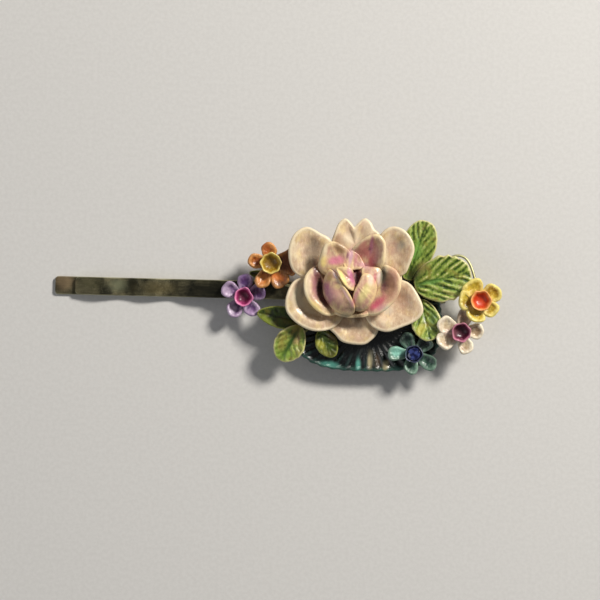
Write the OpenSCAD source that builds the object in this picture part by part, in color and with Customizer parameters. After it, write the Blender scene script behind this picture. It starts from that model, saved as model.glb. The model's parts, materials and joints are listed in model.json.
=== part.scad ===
// Hair grip with an enamelled flower spray.
// A folded spring-steel strip makes the grip: a flat lower leg with the U-bend, and a crimped upper leg.
// The upper leg carries a soldered pad, an oval plate, a layered rose, leaves and five small flowers.
// Frame: +X along the grip from its open tips to its bend, +Z up, origin at the middle of the flat underside.

/* [Grip] */
// Length of the grip from the lower tip to the outside of the bend
grip_length = 65; // [60:0.5:70]
// Width of the steel strip
strip_width = 3; // [2.6:0.1:3.4]
// Thickness of the steel strip
strip_thickness = 0.5; // [0.4:0.05:0.6]
// Free height between the legs at the bend
leg_gap = 1.4; // [1.2:0.1:1.6]
// How far the upper leg stops short of the lower tip
upper_leg_setback = 3.35; // [2.5:0.05:5]
// Number of crimps in the upper leg
crimp_count = 3; // [2:1:4]
// Height of each crimp from trough to crest
crimp_height = 0.55; // [0.3:0.05:0.7]

/* [Plate] */
// Half length of the oval plate
plate_half_length = 12.5; // [11:0.1:13]
// Half width of the oval plate
plate_half_width = 8.3; // [7.5:0.1:8.5]
// Thickness of the oval plate
plate_thickness = 0.6; // [0.5:0.05:0.7]
// Radius of the round pad between the grip and the plate
pad_radius = 4.2; // [3:0.1:5]
// Thickness of the pad
pad_thickness = 0.4; // [0.3:0.05:0.5]

/* [Rose] */
// Thickness of each layer of petals
petal_thickness = 0.5; // [0.4:0.02:0.54]
// Height between one layer of petals and the next
layer_pitch = 0.62; // [0.6:0.02:0.7]
// Radius of the post that holds the layers
post_radius = 0.7; // [0.5:0.05:0.75]

/* [Small flowers and leaves] */
// Radius of a small flower to its petal tips
flower_radius = 3.75; // [3.5:0.05:3.85]
// Thickness of a small flower's petals
flower_thickness = 0.45; // [0.35:0.05:0.5]
// Outer radius of the cup in the middle of a small flower
cup_radius = 1.6; // [1.4:0.05:1.7]
// Height of that cup
cup_height = 1.5; // [1.2:0.1:1.8]
// Thickness of a leaf
leaf_thickness = 0.45; // [0.35:0.05:0.5]
// Diameter of the stem wires
wire_diameter = 0.45; // [0.4:0.05:0.6]

/* [Hidden] */

fit_gap = 0.02;          // air left between parts that are soldered face to face
hinge_clearance = 0.03;  // running clearance round the upper leg's rolled root
$fn = 48;

// Levels, from the table up
leg_top = strip_thickness;
upper_bottom = strip_thickness + leg_gap;
upper_top = upper_bottom + strip_thickness;
pad_top = upper_top + pad_thickness;
plate_bottom = pad_top + fit_gap;
plate_top = plate_bottom + plate_thickness;
first_layer = plate_top + fit_gap + petal_thickness / 2;

// Places along the grip
lower_tip_x = -grip_length / 2;
bend_radius = upper_top / 2;
bend_x = grip_length / 2 - bend_radius;
hinge_z = upper_bottom + strip_thickness / 2;
upper_tip_x = lower_tip_x + upper_leg_setback;
crimp_start_x = -4.5;

// Places of the spray
plate_centre = [19.5, -4.85];
pad_centre = [17.5, -0.4];
rose_centre = [17, 1.8];
post_hole_radius = post_radius + 0.05;

// ---------- grip ----------

function smooth(t) = let (c = min(1, max(0, t))) c * c * (3 - 2 * c);

// Height of the upper leg's middle line above the table, at x
function upper_line(x) =
    let (
        t = (crimp_start_x - x) / (crimp_start_x - upper_tip_x),
        low = leg_top + 0.04 + strip_thickness / 2,
        fall = smooth(t / 0.35),
        wave = crimp_height / 2 * (1 - cos(360 * crimp_count * t))
    )
    t <= 0 ? hinge_z : hinge_z + (low - hinge_z) * fall + wave * fall;

module strip_plan(x_from, x_to, end_radius) {
    // plan view of a strip whose tip at x_from is rounded
    hull() {
        for (side = [-1, 1])
            translate([x_from + end_radius, side * (strip_width / 2 - end_radius)]) circle(end_radius);
        translate([x_to - 1, -strip_width / 2]) square([1, strip_width]);
    }
}

module side_to_strip() {
    // stands a side view up and gives it the strip's width
    rotate([90, 0, 0]) linear_extrude(strip_width, center = true) children();
}

module lower_leg() {
    leg_end_radius = 0.5;
    color("darkkhaki") {
        intersection() {
            translate([lower_tip_x, -strip_width / 2, 0]) cube([bend_x - lower_tip_x, strip_width, strip_thickness]);
            linear_extrude(strip_thickness) strip_plan(lower_tip_x, bend_x, leg_end_radius);
        }
        side_to_strip() difference() {
            translate([bend_x, bend_radius]) circle(bend_radius);
            translate([bend_x, bend_radius]) circle(leg_gap / 2);
            translate([bend_x - 2 * bend_radius, -bend_radius]) square([2 * bend_radius, 4 * bend_radius]);
            translate([bend_x, hinge_z]) circle(strip_thickness / 2 + hinge_clearance);
        }
    }
}

module upper_leg() {
    steps = 60;
    tip_radius = 0.7;
    half = strip_thickness / 2;
    crimped = [for (i = [0 : steps]) crimp_start_x + (upper_tip_x - crimp_start_x) * i / steps];
    side = concat(
        [[bend_x, hinge_z + half], [bend_x, hinge_z - half]],
        [for (x = crimped) [x, upper_line(x) - half]],
        [for (i = [steps : -1 : 0]) [crimped[i], upper_line(crimped[i]) + half]]
    );
    color("darkkhaki") {
        intersection() {
            side_to_strip() polygon(side);
            linear_extrude(2 * upper_top) strip_plan(upper_tip_x, bend_x, tip_radius);
        }
        translate([bend_x, 0, hinge_z]) rotate([90, 0, 0]) cylinder(r = half, h = strip_width, center = true);
    }
}

// ---------- plate and pad ----------

plate_flutes = 44;
plate_scallop = 0.02;    // depth of a scallop, as a share of the plate's size

module mounting_pad() {
    color("darkkhaki")
        translate([pad_centre.x, pad_centre.y, upper_top + fit_gap])
            cylinder(r = pad_radius, h = pad_thickness - fit_gap);
}

// Outline of the plate: a squarish oval, |x/a|^3 + |y/b|^3 = 1, with a shallow scallop at the end of each flute
function plate_point(angle) =
    let (
        c = cos(angle),
        s = sin(angle),
        r = pow(pow(abs(c), 3) + pow(abs(s), 3), -1 / 3),
        scallop = 1 - plate_scallop / 2 * (1 - cos(plate_flutes * angle))
    )
    scallop * r * [plate_half_length * c, plate_half_width * s];

module base_plate() {
    color("darkslategray")
        translate([0, 0, plate_bottom]) linear_extrude(plate_thickness) difference() {
            translate(plate_centre) polygon([for (a = [0 : 360 / plate_flutes / 4 : 359.9]) plate_point(a)]);
            translate(rose_centre) circle(post_hole_radius);
        }
}

// ---------- petals ----------
// A layer of petals is one sheet: part of a bowl, cut to the petals' outline.
// A petal is [start angle, end angle, tip radius, rise at the tip, depth of a notch in the tip].
// A gap between petals is a petal whose tip radius is 0.

function quads(a, b, c, d) = [[a, b, c], [a, c, d]];

// Share of the bowl that the outline reaches, at d across the petal, from -1 to 1
function petal_reach(d, valley, notch) =
    valley + (1 - valley) * pow(max(0, 1 - pow(abs(d), 2.6)), 0.42) - notch * exp(-pow(d / 0.3, 2));

// A point of the bowl at s, with the normal's offset
function bowl_point(s, angle, r0, radius, rise, slope, offset) =
    let (
        turn = slope * s,
        r = r0 + (radius - r0) * sin(turn) / (slope > 90 ? 1 : sin(slope)),
        z = rise * (1 - cos(turn)) / (1 - cos(slope)),
        dr = (radius - r0) * cos(turn) / (slope > 90 ? 1 : sin(slope)),
        dz = rise * sin(turn) / (1 - cos(slope)),
        n = max(1e-6, norm([dr, dz]))
    )
    let (rr = r - offset * dz / n)
    [rr * cos(angle), rr * sin(angle), z + offset * dr / n];

// A whole layer: petals in order round the axis, with slope the bowl's angle at its rim, in degrees
module petal_layer(petals, r0, slope, thickness, cup, valley = 0.3, across = 10, along = 5) {
    largest = max([for (p = petals) p[2]]);
    columns = [
        for (p = petals) for (i = [0 : across - 1])
            let (
                d = -1 + 2 * i / across,
                gap = p[2] == 0,
                reach = gap ? valley : petal_reach(d, valley, p[4])
            )
            [p[0] + (p[1] - p[0]) * i / across, gap ? largest * 0.85 : p[2], gap ? 1.5 : p[3], reach, gap ? 1 : d]
    ];
    n = len(columns);
    rows = along + 1;
    function sheet_points(side) = [
        for (c = columns) for (j = [0 : along])
            let (s = c[3] * j / along, p = bowl_point(s, c[0], r0, c[1], c[2], slope, side * thickness / 2))
            [p.x, p.y, p.z + cup * c[4] * c[4] * s * s]
    ];
    under = n * rows;
    faces = [
        for (i = [0 : n - 1])
            let (a = i * rows, b = ((i + 1) % n) * rows, e = rows - 1)
            each concat(
                [for (j = [0 : along - 1]) each quads(a + j, b + j, b + j + 1, a + j + 1)],
                [for (j = [0 : along - 1])
                    each quads(under + a + j, under + a + j + 1, under + b + j + 1, under + b + j)],
                quads(a + e, b + e, under + b + e, under + a + e),
                quads(b, a, under + a, under + b)
            )
    ];
    polyhedron(concat(sheet_points(1), sheet_points(-1)), faces);
}

// ---------- rose ----------

module at_rose(layer) {
    translate([rose_centre.x, rose_centre.y, first_layer + layer * layer_pitch]) children();
}

module rose_post() {
    head_radius = 1;
    head_height = 0.5;
    shank_top = first_layer + 4 * layer_pitch + petal_thickness / 2 + 0.12;
    color("goldenrod") translate([rose_centre.x, rose_centre.y, 0]) {
        translate([0, 0, plate_bottom]) cylinder(r = post_radius, h = shank_top - plate_bottom);
        translate([0, 0, shank_top]) cylinder(r1 = head_radius, r2 = post_radius, h = head_height);
    }
}

module rose_back_petals() {
    color("antiquewhite") at_rose(0) petal_layer(
        [[-28, 28, 8.4, 1.2, 0], [28, 60, 0, 0, 0], [60, 117, 11.2, 2.2, 0.12], [117, 152, 0, 0, 0],
            [152, 208, 9.8, 1.4, 0], [208, 238, 0, 0, 0], [238, 300, 10.4, 1.6, 0.03], [300, 332, 0, 0, 0]],
        post_hole_radius, 38, petal_thickness, 0.2);
}

module rose_outer_petals() {
    color("antiquewhite") at_rose(1) petal_layer(
        [[-70, -1, 12.5, 3.4, 0], [-1, 14, 0, 0, 0], [14, 68, 11.8, 3.6, 0.02], [68, 117, 0, 0, 0],
            [117, 178, 11.8, 3.6, 0.02], [178, 182, 0, 0, 0], [182, 250, 11.8, 3.2, 0], [250, 290, 0, 0, 0]],
        post_hole_radius, 58, petal_thickness, 0.5);
}

module rose_middle_petals() {
    color("antiquewhite") at_rose(2) petal_layer(
        [[-60, 26, 7.7, 4.3, 0], [26, 90, 8.1, 4.7, 0], [90, 160, 8.1, 4.7, 0],
            [160, 238, 8.3, 4.4, 0], [238, 300, 6.4, 2.6, 0]],
        post_hole_radius, 72, petal_thickness, 0.4, 0.62);
}

module rose_inner_petals() {
    color("mistyrose") at_rose(3) petal_layer(
        [[-80, 40, 4.9, 5.2, 0], [40, 140, 4.7, 5.0, 0], [140, 280, 5.2, 5.2, 0]],
        post_hole_radius, 132, petal_thickness, 0, 0.8, 12);
}

module rose_bud() {
    color("mistyrose") at_rose(4) petal_layer(
        [[-50, 70, 2.5, 5.0, 0], [70, 190, 2.5, 4.6, 0], [190, 310, 2.6, 4.8, 0]],
        post_hole_radius, 146, petal_thickness, 0, 0.85, 8);
}

// ---------- leaves ----------

// Half width of a leaf, as a share of its largest, at s from stalk to tip.
// A late leaf is widest past its middle, and a full one has a rounder tip.
function leaf_width(s, late, full) = 0.14 + 0.86 * pow(max(0, sin(180 * pow(s, late))), full);

// A leaf from its stalk end to its tip. Its middle stands up by arch, and its sides by keel.
module leaf(from, to, half_width, arch, keel, late = 0.9, full = 0.7, across = 6, along = 10) {
    run = to - from;
    side = [-run.y, run.x, 0] / norm([run.x, run.y]);
    rows = along + 1;
    function leaf_point(w, s, z) =
        let (width = leaf_width(s, late, full))
        from + run * s + side * (w * half_width * width) + [0, 0, arch * sin(180 * s) + keel * abs(w) * width + z];
    function leaf_points(z) = [
        for (i = [0 : across]) for (j = [0 : along]) leaf_point(1 - 2 * i / across, j / along, z)
    ];
    under = (across + 1) * rows;
    last = across * rows;
    faces = concat(
        [for (i = [0 : across - 1]) for (j = [0 : along - 1]) let (a = i * rows + j, b = a + rows)
            each quads(a, a + 1, b + 1, b)],
        [for (i = [0 : across - 1]) for (j = [0 : along - 1]) let (a = under + i * rows + j, b = a + rows)
            each quads(a, b, b + 1, a + 1)],
        [for (j = [0 : along - 1]) each quads(j, under + j, under + j + 1, j + 1)],
        [for (j = [0 : along - 1]) let (a = last + j) each quads(a, a + 1, under + a + 1, under + a)],
        [for (i = [0 : across - 1]) let (a = i * rows) each quads(a, a + rows, under + a + rows, under + a)],
        [for (i = [0 : across - 1]) let (a = i * rows + along)
            each quads(a, under + a, under + a + rows, a + rows)]
    );
    color("yellowgreen") polyhedron(concat(leaf_points(leaf_thickness), leaf_points(0)), faces);
}

leaf_seat = plate_top + fit_gap;

high_seat = leaf_seat + wire_diameter + 0.27;  // a leaf that lies over its stem

module leaf_top_right() { leaf([26.0, 2.2, leaf_seat], [29.0, 12.2, 4.6], 3.0, 0.3, 0.25, 1.25, 0.55); }
module leaf_right() { leaf([27.1, 1.4, high_seat], [36.6, 3.8, 5.0], 3.9, 0.25, 0.3, 1.1, 0.55); }
module leaf_low_right() { leaf([28.3, -0.9, leaf_seat], [30.1, -7.8, 4.9], 2.5, 0.3, 0.2, 1.1, 0.6); }
module leaf_left() { leaf([9.2, -5.1, leaf_seat], [1.2, -3.8, 3.7], 1.95, 0.3, 0.2); }
module leaf_bottom_left() { leaf([8.6, -5.8, high_seat], [5.2, -11.6, 3.9], 2.65, 0.3, 0.2, 1.15, 0.6); }
module leaf_bottom() { leaf([11.6, -6.5, leaf_seat], [14.2, -10.8, 3.8], 1.9, 0.3, 0.2, 1.0, 0.7); }
module leaf_small() { leaf([3.4, 2.2, 2.5], [-0.3, 2.9, 2.5], 0.8, 0, 0); }

// ---------- wires ----------

// A point of the smooth curve through p[i] and p[i + 1]
function curve_point(p, i, t) =
    let (
        a = p[max(0, i - 1)], b = p[i], c = p[i + 1], d = p[min(len(p) - 1, i + 2)]
    )
    0.5 * (2 * b + (c - a) * t + (2 * a - 5 * b + 4 * c - d) * t * t + (3 * b - a - 3 * c + d) * t * t * t);

// A round wire on a smooth curve through points. The curve may climb, but never runs straight up.
module wire(points, diameter, steps = 4, sides = 12) {
    path = concat(
        [for (i = [0 : len(points) - 2]) for (t = [0 : 1 / steps : 0.999]) curve_point(points, i, t)],
        [points[len(points) - 1]]
    );
    last = len(path) - 1;
    rings = [
        for (i = [0 : last])
            let (
                along = path[min(last, i + 1)] - path[max(0, i - 1)],
                across = [along.y, -along.x, 0] / norm([along.x, along.y]),
                up = cross(across, along / norm(along))
            )
            for (k = [0 : sides - 1])
                path[i] + diameter / 2 * (cos(360 * k / sides) * across + sin(360 * k / sides) * up)
    ];
    walls = [
        for (i = [0 : last - 1]) for (k = [0 : sides - 1])
            let (a = i * sides + k, b = i * sides + (k + 1) % sides)
            each quads(a, b, b + sides, a + sides)
    ];
    polyhedron(rings, concat(walls, [[for (k = [sides - 1 : -1 : 0]) k],
        [for (k = [0 : sides - 1]) last * sides + k]]));
}

wire_seat = plate_top + fit_gap + wire_diameter / 2;

module sprig_stem_right() {
    color("olivedrab")
        wire([[22.6, -2.2, wire_seat], [25.0, -0.4, wire_seat], [27.5, 0.9, wire_seat]], wire_diameter);
}

module sprig_stem_left() {
    color("olivedrab")
        wire([[12.4, -3.6, wire_seat], [11.0, -5.2, wire_seat], [9.0, -6.9, wire_seat]], wire_diameter);
}

module orange_stem() {
    start = upper_top + fit_gap + wire_diameter / 2;
    finish = orange_at.z - (flower_thickness + wire_diameter) / 2 - fit_gap;
    color("darkkhaki")
        wire([[7.4, 0.6, start], [5.4, 1.2, start], [4.2, 2.8, start + 0.2], [orange_at.x, orange_at.y, finish]],
            wire_diameter);
}

module yellow_stem() {
    finish = yellow_at.z - flower_thickness / 2 - wire_diameter;
    color("darkkhaki")
        wire([[28.7, 0.0, wire_seat], [30.4, 2.2, wire_seat + 0.04], [32.4, 5.5, 3.9], [34.6, 6.5, 4.1], [36.5, 4.9, 4.4],
            [yellow_at.x, yellow_at.y + 0.2, finish]], wire_diameter);
}

module white_stem() {
    finish = white_at.z - flower_thickness / 2 - wire_diameter;
    color("darkkhaki")
        wire([[25.6, -3.4, wire_seat], [28.4, -5.0, wire_seat], [31.8, -6.0, wire_seat + 0.1],
            [white_at.x, white_at.y, finish]],
            wire_diameter);
}

// ---------- small flowers ----------
// Each place is [x, y, z of the petals' middle at the hub], and each pose is [lean, direction of the lean].

purple_at = [-1.1, -1.2, upper_top + fit_gap + flower_thickness / 2];
orange_at = [3.3, 4.5, 4.1];
yellow_at = [38.1, -0.9, 6];
white_at = [35, -6.1, 5.1];
teal_at = [27.4, -10.0, plate_top + fit_gap + flower_thickness / 2];

hub_radius = 0.35;

module lean(pose) { rotate([0, 0, pose[1]]) rotate([0, pose[0], 0]) rotate([0, 0, -pose[1]]) children(); }

// Five petals from the first petal's direction on. stretch holds each petal's length as a share of the radius.
module five_petals(first, stretch, rise) {
    petal_layer([for (k = [0 : 4]) [first - 36 + 72 * k, first + 36 + 72 * k, flower_radius * stretch[k], rise, 0]],
        hub_radius, 55, flower_thickness, 0.15, 0.46, 10, 4);
}

// A small open cup with a closed floor, on the petals' hub
module flower_cup() {
    wall = 0.42;
    floor_height = 0.35;
    foot_radius = cup_radius - 0.25;
    translate([0, 0, flower_thickness / 2 + fit_gap + 0.12]) rotate_extrude() polygon([
        [0, 0], [foot_radius, 0], [cup_radius, cup_height * 0.7], [cup_radius - 0.1, cup_height],
        [cup_radius - wall, cup_height], [foot_radius - wall, floor_height], [0, floor_height]
    ]);
}

module placed(place, pose) { translate(place) lean(pose) children(); }

purple_pose = [0, 0];
orange_pose = [0, 0];
yellow_pose = [8, 10];
white_pose = [8, -40];
teal_pose = [0, 0];

module purple_petals() {
    color("mediumpurple") placed(purple_at, purple_pose) five_petals(14, [0.98, 0.98, 1, 1, 0.98], 0.9);
}
module purple_cup() { color("mediumvioletred") placed(purple_at, purple_pose) flower_cup(); }

module orange_petals() {
    color("chocolate") placed(orange_at, orange_pose) five_petals(22, [1.15, 0.98, 0.93, 0.98, 1.15], 0.9);
}
module orange_cup() { color("khaki") placed(orange_at, orange_pose) flower_cup(); }

module yellow_petals() {
    color("goldenrod") placed(yellow_at, yellow_pose) five_petals(36, [1, 0.98, 0.98, 0.96, 0.96], 0.9);
}
module yellow_cup() { color("darkorange") placed(yellow_at, yellow_pose) flower_cup(); }

module white_petals() {
    color("linen") placed(white_at, white_pose) five_petals(3, [1.02, 0.9, 1, 1.04, 1], 0.9);
}
module white_cup() { color("maroon") placed(white_at, white_pose) flower_cup(); }

module teal_petals() {
    color("cadetblue") placed(teal_at, teal_pose) five_petals(-29, [1.05, 0.95, 0.95, 1, 0.95], 0.8);
}
module teal_cup() { color("midnightblue") placed(teal_at, teal_pose) flower_cup(); }

module teal_stone() {
    girdle_radius = 1.1;
    table_radius = 0.7;
    back_depth = 0.7;
    crown_height = 0.35;
    girdle = flower_thickness / 2 + cup_height;
    color("royalblue") placed(teal_at, teal_pose) translate([0, 0, girdle - back_depth]) {
        cylinder(r1 = 0.45, r2 = girdle_radius, h = back_depth);
        translate([0, 0, back_depth]) cylinder(r1 = girdle_radius, r2 = table_radius, h = crown_height);
    }
}

// ---------- what is drawn ----------

lower_leg();
upper_leg();
mounting_pad();
base_plate();
rose_post();
rose_back_petals();
rose_outer_petals();
rose_middle_petals();
rose_inner_petals();
rose_bud();
leaf_top_right();
leaf_right();
leaf_low_right();
leaf_left();
leaf_bottom_left();
leaf_bottom();
leaf_small();
sprig_stem_right();
sprig_stem_left();
purple_petals();
purple_cup();
orange_petals();
orange_cup();
yellow_petals();
yellow_cup();
white_petals();
white_cup();
teal_petals();
teal_cup();
teal_stone();
orange_stem();
yellow_stem();
white_stem();
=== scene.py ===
import json
import math

import bpy
import numpy as np
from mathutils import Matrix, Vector, noise


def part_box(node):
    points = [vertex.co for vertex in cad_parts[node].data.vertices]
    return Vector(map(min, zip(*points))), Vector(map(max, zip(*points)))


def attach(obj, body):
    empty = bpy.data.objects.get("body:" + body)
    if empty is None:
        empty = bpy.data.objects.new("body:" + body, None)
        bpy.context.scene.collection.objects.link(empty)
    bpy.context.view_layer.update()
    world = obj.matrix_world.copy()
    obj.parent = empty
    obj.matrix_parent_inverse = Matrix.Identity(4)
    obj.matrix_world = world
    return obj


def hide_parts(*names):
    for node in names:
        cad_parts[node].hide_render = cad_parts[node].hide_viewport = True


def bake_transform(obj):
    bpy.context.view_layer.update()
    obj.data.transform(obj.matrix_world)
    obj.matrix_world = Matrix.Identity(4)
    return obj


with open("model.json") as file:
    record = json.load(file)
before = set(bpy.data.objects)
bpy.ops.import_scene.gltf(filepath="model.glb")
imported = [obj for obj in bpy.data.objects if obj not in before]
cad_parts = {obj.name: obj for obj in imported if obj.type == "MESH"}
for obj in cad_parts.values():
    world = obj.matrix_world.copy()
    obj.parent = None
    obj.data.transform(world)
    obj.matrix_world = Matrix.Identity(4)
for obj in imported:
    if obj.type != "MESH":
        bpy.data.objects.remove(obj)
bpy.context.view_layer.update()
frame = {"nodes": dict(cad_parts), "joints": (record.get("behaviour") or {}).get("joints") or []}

# A flower hair clip: a folded strip grip with a painted rose, leaves and five small flowers.
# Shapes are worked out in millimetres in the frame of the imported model, and stored in metres.

MM = 0.001
TAU = 2 * math.pi


# ---------- places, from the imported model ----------

def box_mm(node):
    """A node's lowest and highest corners, in millimetres."""
    low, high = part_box(node)
    return np.array(low) / MM, np.array(high) / MM


def middle(node):
    low, high = box_mm(node)
    return (low + high) / 2


def within(node, fx, fy, z):
    """A point at shares fx and fy of a node's box, at height z above its lowest point."""
    low, high = box_mm(node)
    return np.array([low[0] + fx * (high[0] - low[0]), low[1] + fy * (high[1] - low[1]), low[2] + z])


ROSE = middle("rose_post")[:2]
PLATE = middle("base_plate")
PLATE_HALF = (box_mm("base_plate")[1] - box_mm("base_plate")[0]) / 2
PLATE_TOP = box_mm("base_plate")[1][2]
STRIP_HALF_WIDTH = (box_mm("upper_leg")[1] - box_mm("upper_leg")[0])[1] / 2
STRIP_THICKNESS = 0.5
UNPAINTED = 4.0  # the edge number of points that take no paint strokes


# ---------- meshes ----------

def rough_field(points, size, seed):
    """Smooth noise from -1 to 1 at each point, with lumps of about the given size."""
    shift = Vector((seed * 7.31, seed * 3.17, seed * 5.77))
    return np.array([noise.noise(Vector(p) / size + shift) for p in points])


def smoothstep(low, high, x):
    t = np.clip((x - low) / (high - low), 0, 1)
    return t * t * (3 - 2 * t)


class Shape:
    """Closed shells gathered into one mesh, with numbers and paint kept at each point for the materials."""

    FIELDS = ("edge", "hollow", "stain")

    def __init__(self):
        self.points, self.faces, self.flat = [], [], []
        self.fields = {f: [] for f in self.FIELDS}
        self.count = 0

    def add(self, points, faces, flat=False, **fields):
        self.points.append(np.asarray(points, float))
        self.faces += [tuple(i + self.count for i in f) for f in faces]
        self.flat += [flat] * len(faces)
        for f in self.FIELDS:
            value = fields.get(f, 0.0)
            self.fields[f].append(np.broadcast_to(np.asarray(value, float), (len(points),)))
        self.count += len(points)

    def make(self, name, material, node=None, strokes=(), body="upper_leg"):
        """Makes the piece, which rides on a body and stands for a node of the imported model."""
        points = np.concatenate(self.points)
        mesh = bpy.data.meshes.new(name)
        mesh.from_pydata((points * MM).tolist(), [], self.faces)

        def keep(field, kind, slot, values):
            mesh.attributes.new(field, kind, "POINT").data.foreach_set(slot, values)

        for f in self.FIELDS:
            keep(f, "FLOAT", "value", np.concatenate(self.fields[f]).astype(np.float32))
        paint = painted(points[:, :2], strokes).astype(np.float32)
        paint[:, 3] *= np.concatenate(self.fields["edge"]) < UNPAINTED
        keep("paint", "FLOAT_COLOR", "color", paint.ravel())
        keep("cover", "FLOAT", "value", paint[:, 3].copy())
        mesh.polygons.foreach_set("use_smooth", [not f for f in self.flat])
        mesh.materials.append(material)
        mesh.validate()
        piece = bpy.data.objects.new(name, mesh)
        bpy.context.scene.collection.objects.link(piece)
        if body:
            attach(piece, body)
        if node:
            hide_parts(node)
        return piece


def painted(plan, strokes):
    """Colour and cover at each point after the strokes are laid one over another.

    A stroke is (x, y, half length, half width, angle, colour, cover), placed from the rose's axis.
    """
    colour = np.zeros((len(plan), 4))
    for x, y, length, width, angle, rgb, cover in strokes:
        turn = math.radians(angle)
        d = plan - ROSE - (x, y)
        along = (d[:, 0] * math.cos(turn) + d[:, 1] * math.sin(turn)) / length
        across = (-d[:, 0] * math.sin(turn) + d[:, 1] * math.cos(turn)) / width
        share = cover * np.exp(-(along ** 2 + across ** 2) ** 1.5)
        total = share + colour[:, 3] * (1 - share)
        blend = (share / np.maximum(total, 1e-6))[:, None]
        colour[:, :3] += (np.array(srgb(*rgb)[:3]) - colour[:, :3]) * blend
        colour[:, 3] = total
    return colour


def ring_faces(rings, spokes, first=0):
    """Quads between rings of points that follow each other, each closed round its spokes."""
    return [
        (first + r * spokes + k, first + r * spokes + (k + 1) % spokes,
         first + (r + 1) * spokes + (k + 1) % spokes, first + (r + 1) * spokes + k)
        for r in range(rings - 1) for k in range(spokes)
    ]


def fan(centre, first, spokes, turned_over=False):
    """Triangles from a centre point to each side of the ring that starts at the point first."""
    sides = [(first + k, first + (k + 1) % spokes) for k in range(spokes)]
    return [(centre, b, a) if turned_over else (centre, a, b) for a, b in sides]


def between(a, b, c, d, t):
    """The point at share t of the way from b to c, on a smooth curve through all four."""
    bend = (2 * a - 5 * b + 4 * c - d) * t ** 2
    return 0.5 * (2 * b + (c - a) * t + bend + (3 * b - a - 3 * c + d) * t ** 3)


def sheet_shell(shape, rim_line, centre, relief=None, height=None, power=1.8, roll=0.0, roll_start=0.7,
                thickness=0.5, rim=0.62, rings=18, lump=0.05, seed=1, stain=None, lift=None):
    """A closed sheet inside a rim line that is star-shaped about its centre, seen from above.

    The rim line and centre hold heights, and the sheet rises from centre to rim by the given power,
    unless height(x, y) says how high its middle lies. The last part rolls down by roll, and the sheet
    ends in a round bead. relief(x, y) raises the upper face, and stain(x, y) says where a stain was
    brushed on. lift moves the finished points, such as into a tilted flower.
    """
    spokes = len(rim_line)
    spoke = rim_line[:, :2] - centre[:2]
    reach = np.linalg.norm(spoke, axis=1)
    steps = np.linspace(0, 1, rings + 1)[1:]
    rho = 1 - (1 - steps) ** 1.7
    plan = centre[:2] + rho[:, None, None] * spoke[None]
    x, y = plan[..., 0], plan[..., 1]
    if height is not None:
        z = height(x, y)
    else:
        z = centre[2] + (rim_line[None, :, 2] - centre[2]) * rho[:, None] ** power
    z = z - roll * smoothstep(roll_start, 1.0, rho)[:, None]
    mid = np.stack([x, y, z], axis=-1)
    outward = np.gradient(mid, rho, axis=0)
    round_way = np.roll(mid, -1, axis=1) - np.roll(mid, 1, axis=1)
    normal = np.cross(outward, round_way).reshape(-1, 3)
    normal /= np.linalg.norm(normal, axis=1)[:, None]
    mid = mid.reshape(-1, 3)
    x, y = mid[:, 0], mid[:, 1]

    edge = ((1 - rho)[:, None] * reach[None]).reshape(-1)
    round_end = rim / 2
    half = np.where(
        edge < round_end,
        rim / 2 * np.sqrt(np.clip(1 - (1 - edge / round_end) ** 2, 0, 1)),
        thickness / 2 + (rim - thickness) / 2 * np.exp(-((edge - round_end) / 0.5) ** 2),
    )
    wave = lump * (rough_field(mid, 2.2, seed) + 0.4 * rough_field(mid, 0.8, seed + 3))
    wave += 0.3 * lump * rough_field(mid, 0.4, seed + 4)
    depth = relief(x, y) if relief else np.zeros_like(x)
    raised = depth * smoothstep(0.0, 0.5, edge)
    mid = mid + normal * wave[:, None]
    upper = mid + normal * (half + raised)[:, None]
    lower = mid - normal * half[:, None]

    inner = (rings - 1) * spokes
    middles = [upper[:spokes].mean(axis=0), lower[:spokes].mean(axis=0)]
    points = np.concatenate([upper, lower[:inner], middles])
    below = rings * spokes
    faces = [tuple(reversed(f)) for f in ring_faces(rings, spokes)] + ring_faces(rings - 1, spokes, below)
    last_below = below + (rings - 2) * spokes
    for k in range(spokes):
        n = (k + 1) % spokes
        faces.append((inner + n, inner + k, last_below + k, last_below + n))
    faces += fan(below + inner, 0, spokes) + fan(below + inner + 1, below, spokes, turned_over=True)

    def spread(values, below_share):
        """The values for the upper face, and a share of them for the lower face."""
        centre_value = values[:spokes].mean()
        ends = [centre_value, below_share * centre_value]
        return np.concatenate([values, below_share * values[:inner], ends])

    stains = stain(x, y) if stain else np.zeros_like(x)
    if lift:
        points = lift(points)
    shape.add(points, faces, edge=spread(np.minimum(edge, 3), 1), hollow=spread(depth, 0),
              stain=spread(stains, 0))


def closed_curve(corners, spokes=128):
    """A smooth closed curve through the corners, with evenly spaced points, counterclockwise."""
    corners = np.array(corners, float)
    count = len(corners)
    dense = []
    for i in range(count):
        near = [corners[(i + k) % count] for k in (-1, 0, 1, 2)]
        dense += [between(*near, t) for t in np.arange(24) / 24]
    dense = np.array(dense + [dense[0]])
    travel = np.concatenate([[0], np.cumsum(np.linalg.norm(np.diff(dense[:, :2], axis=0), axis=1))])
    marks = np.arange(spokes) * travel[-1] / spokes
    curve = np.stack([np.interp(marks, travel, dense[:, k]) for k in range(dense.shape[1])], axis=1)
    x, y = curve[:, 0], curve[:, 1]
    area = np.sum(x * np.roll(y, -1) - y * np.roll(x, -1))
    return curve if area > 0 else curve[::-1]


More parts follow.
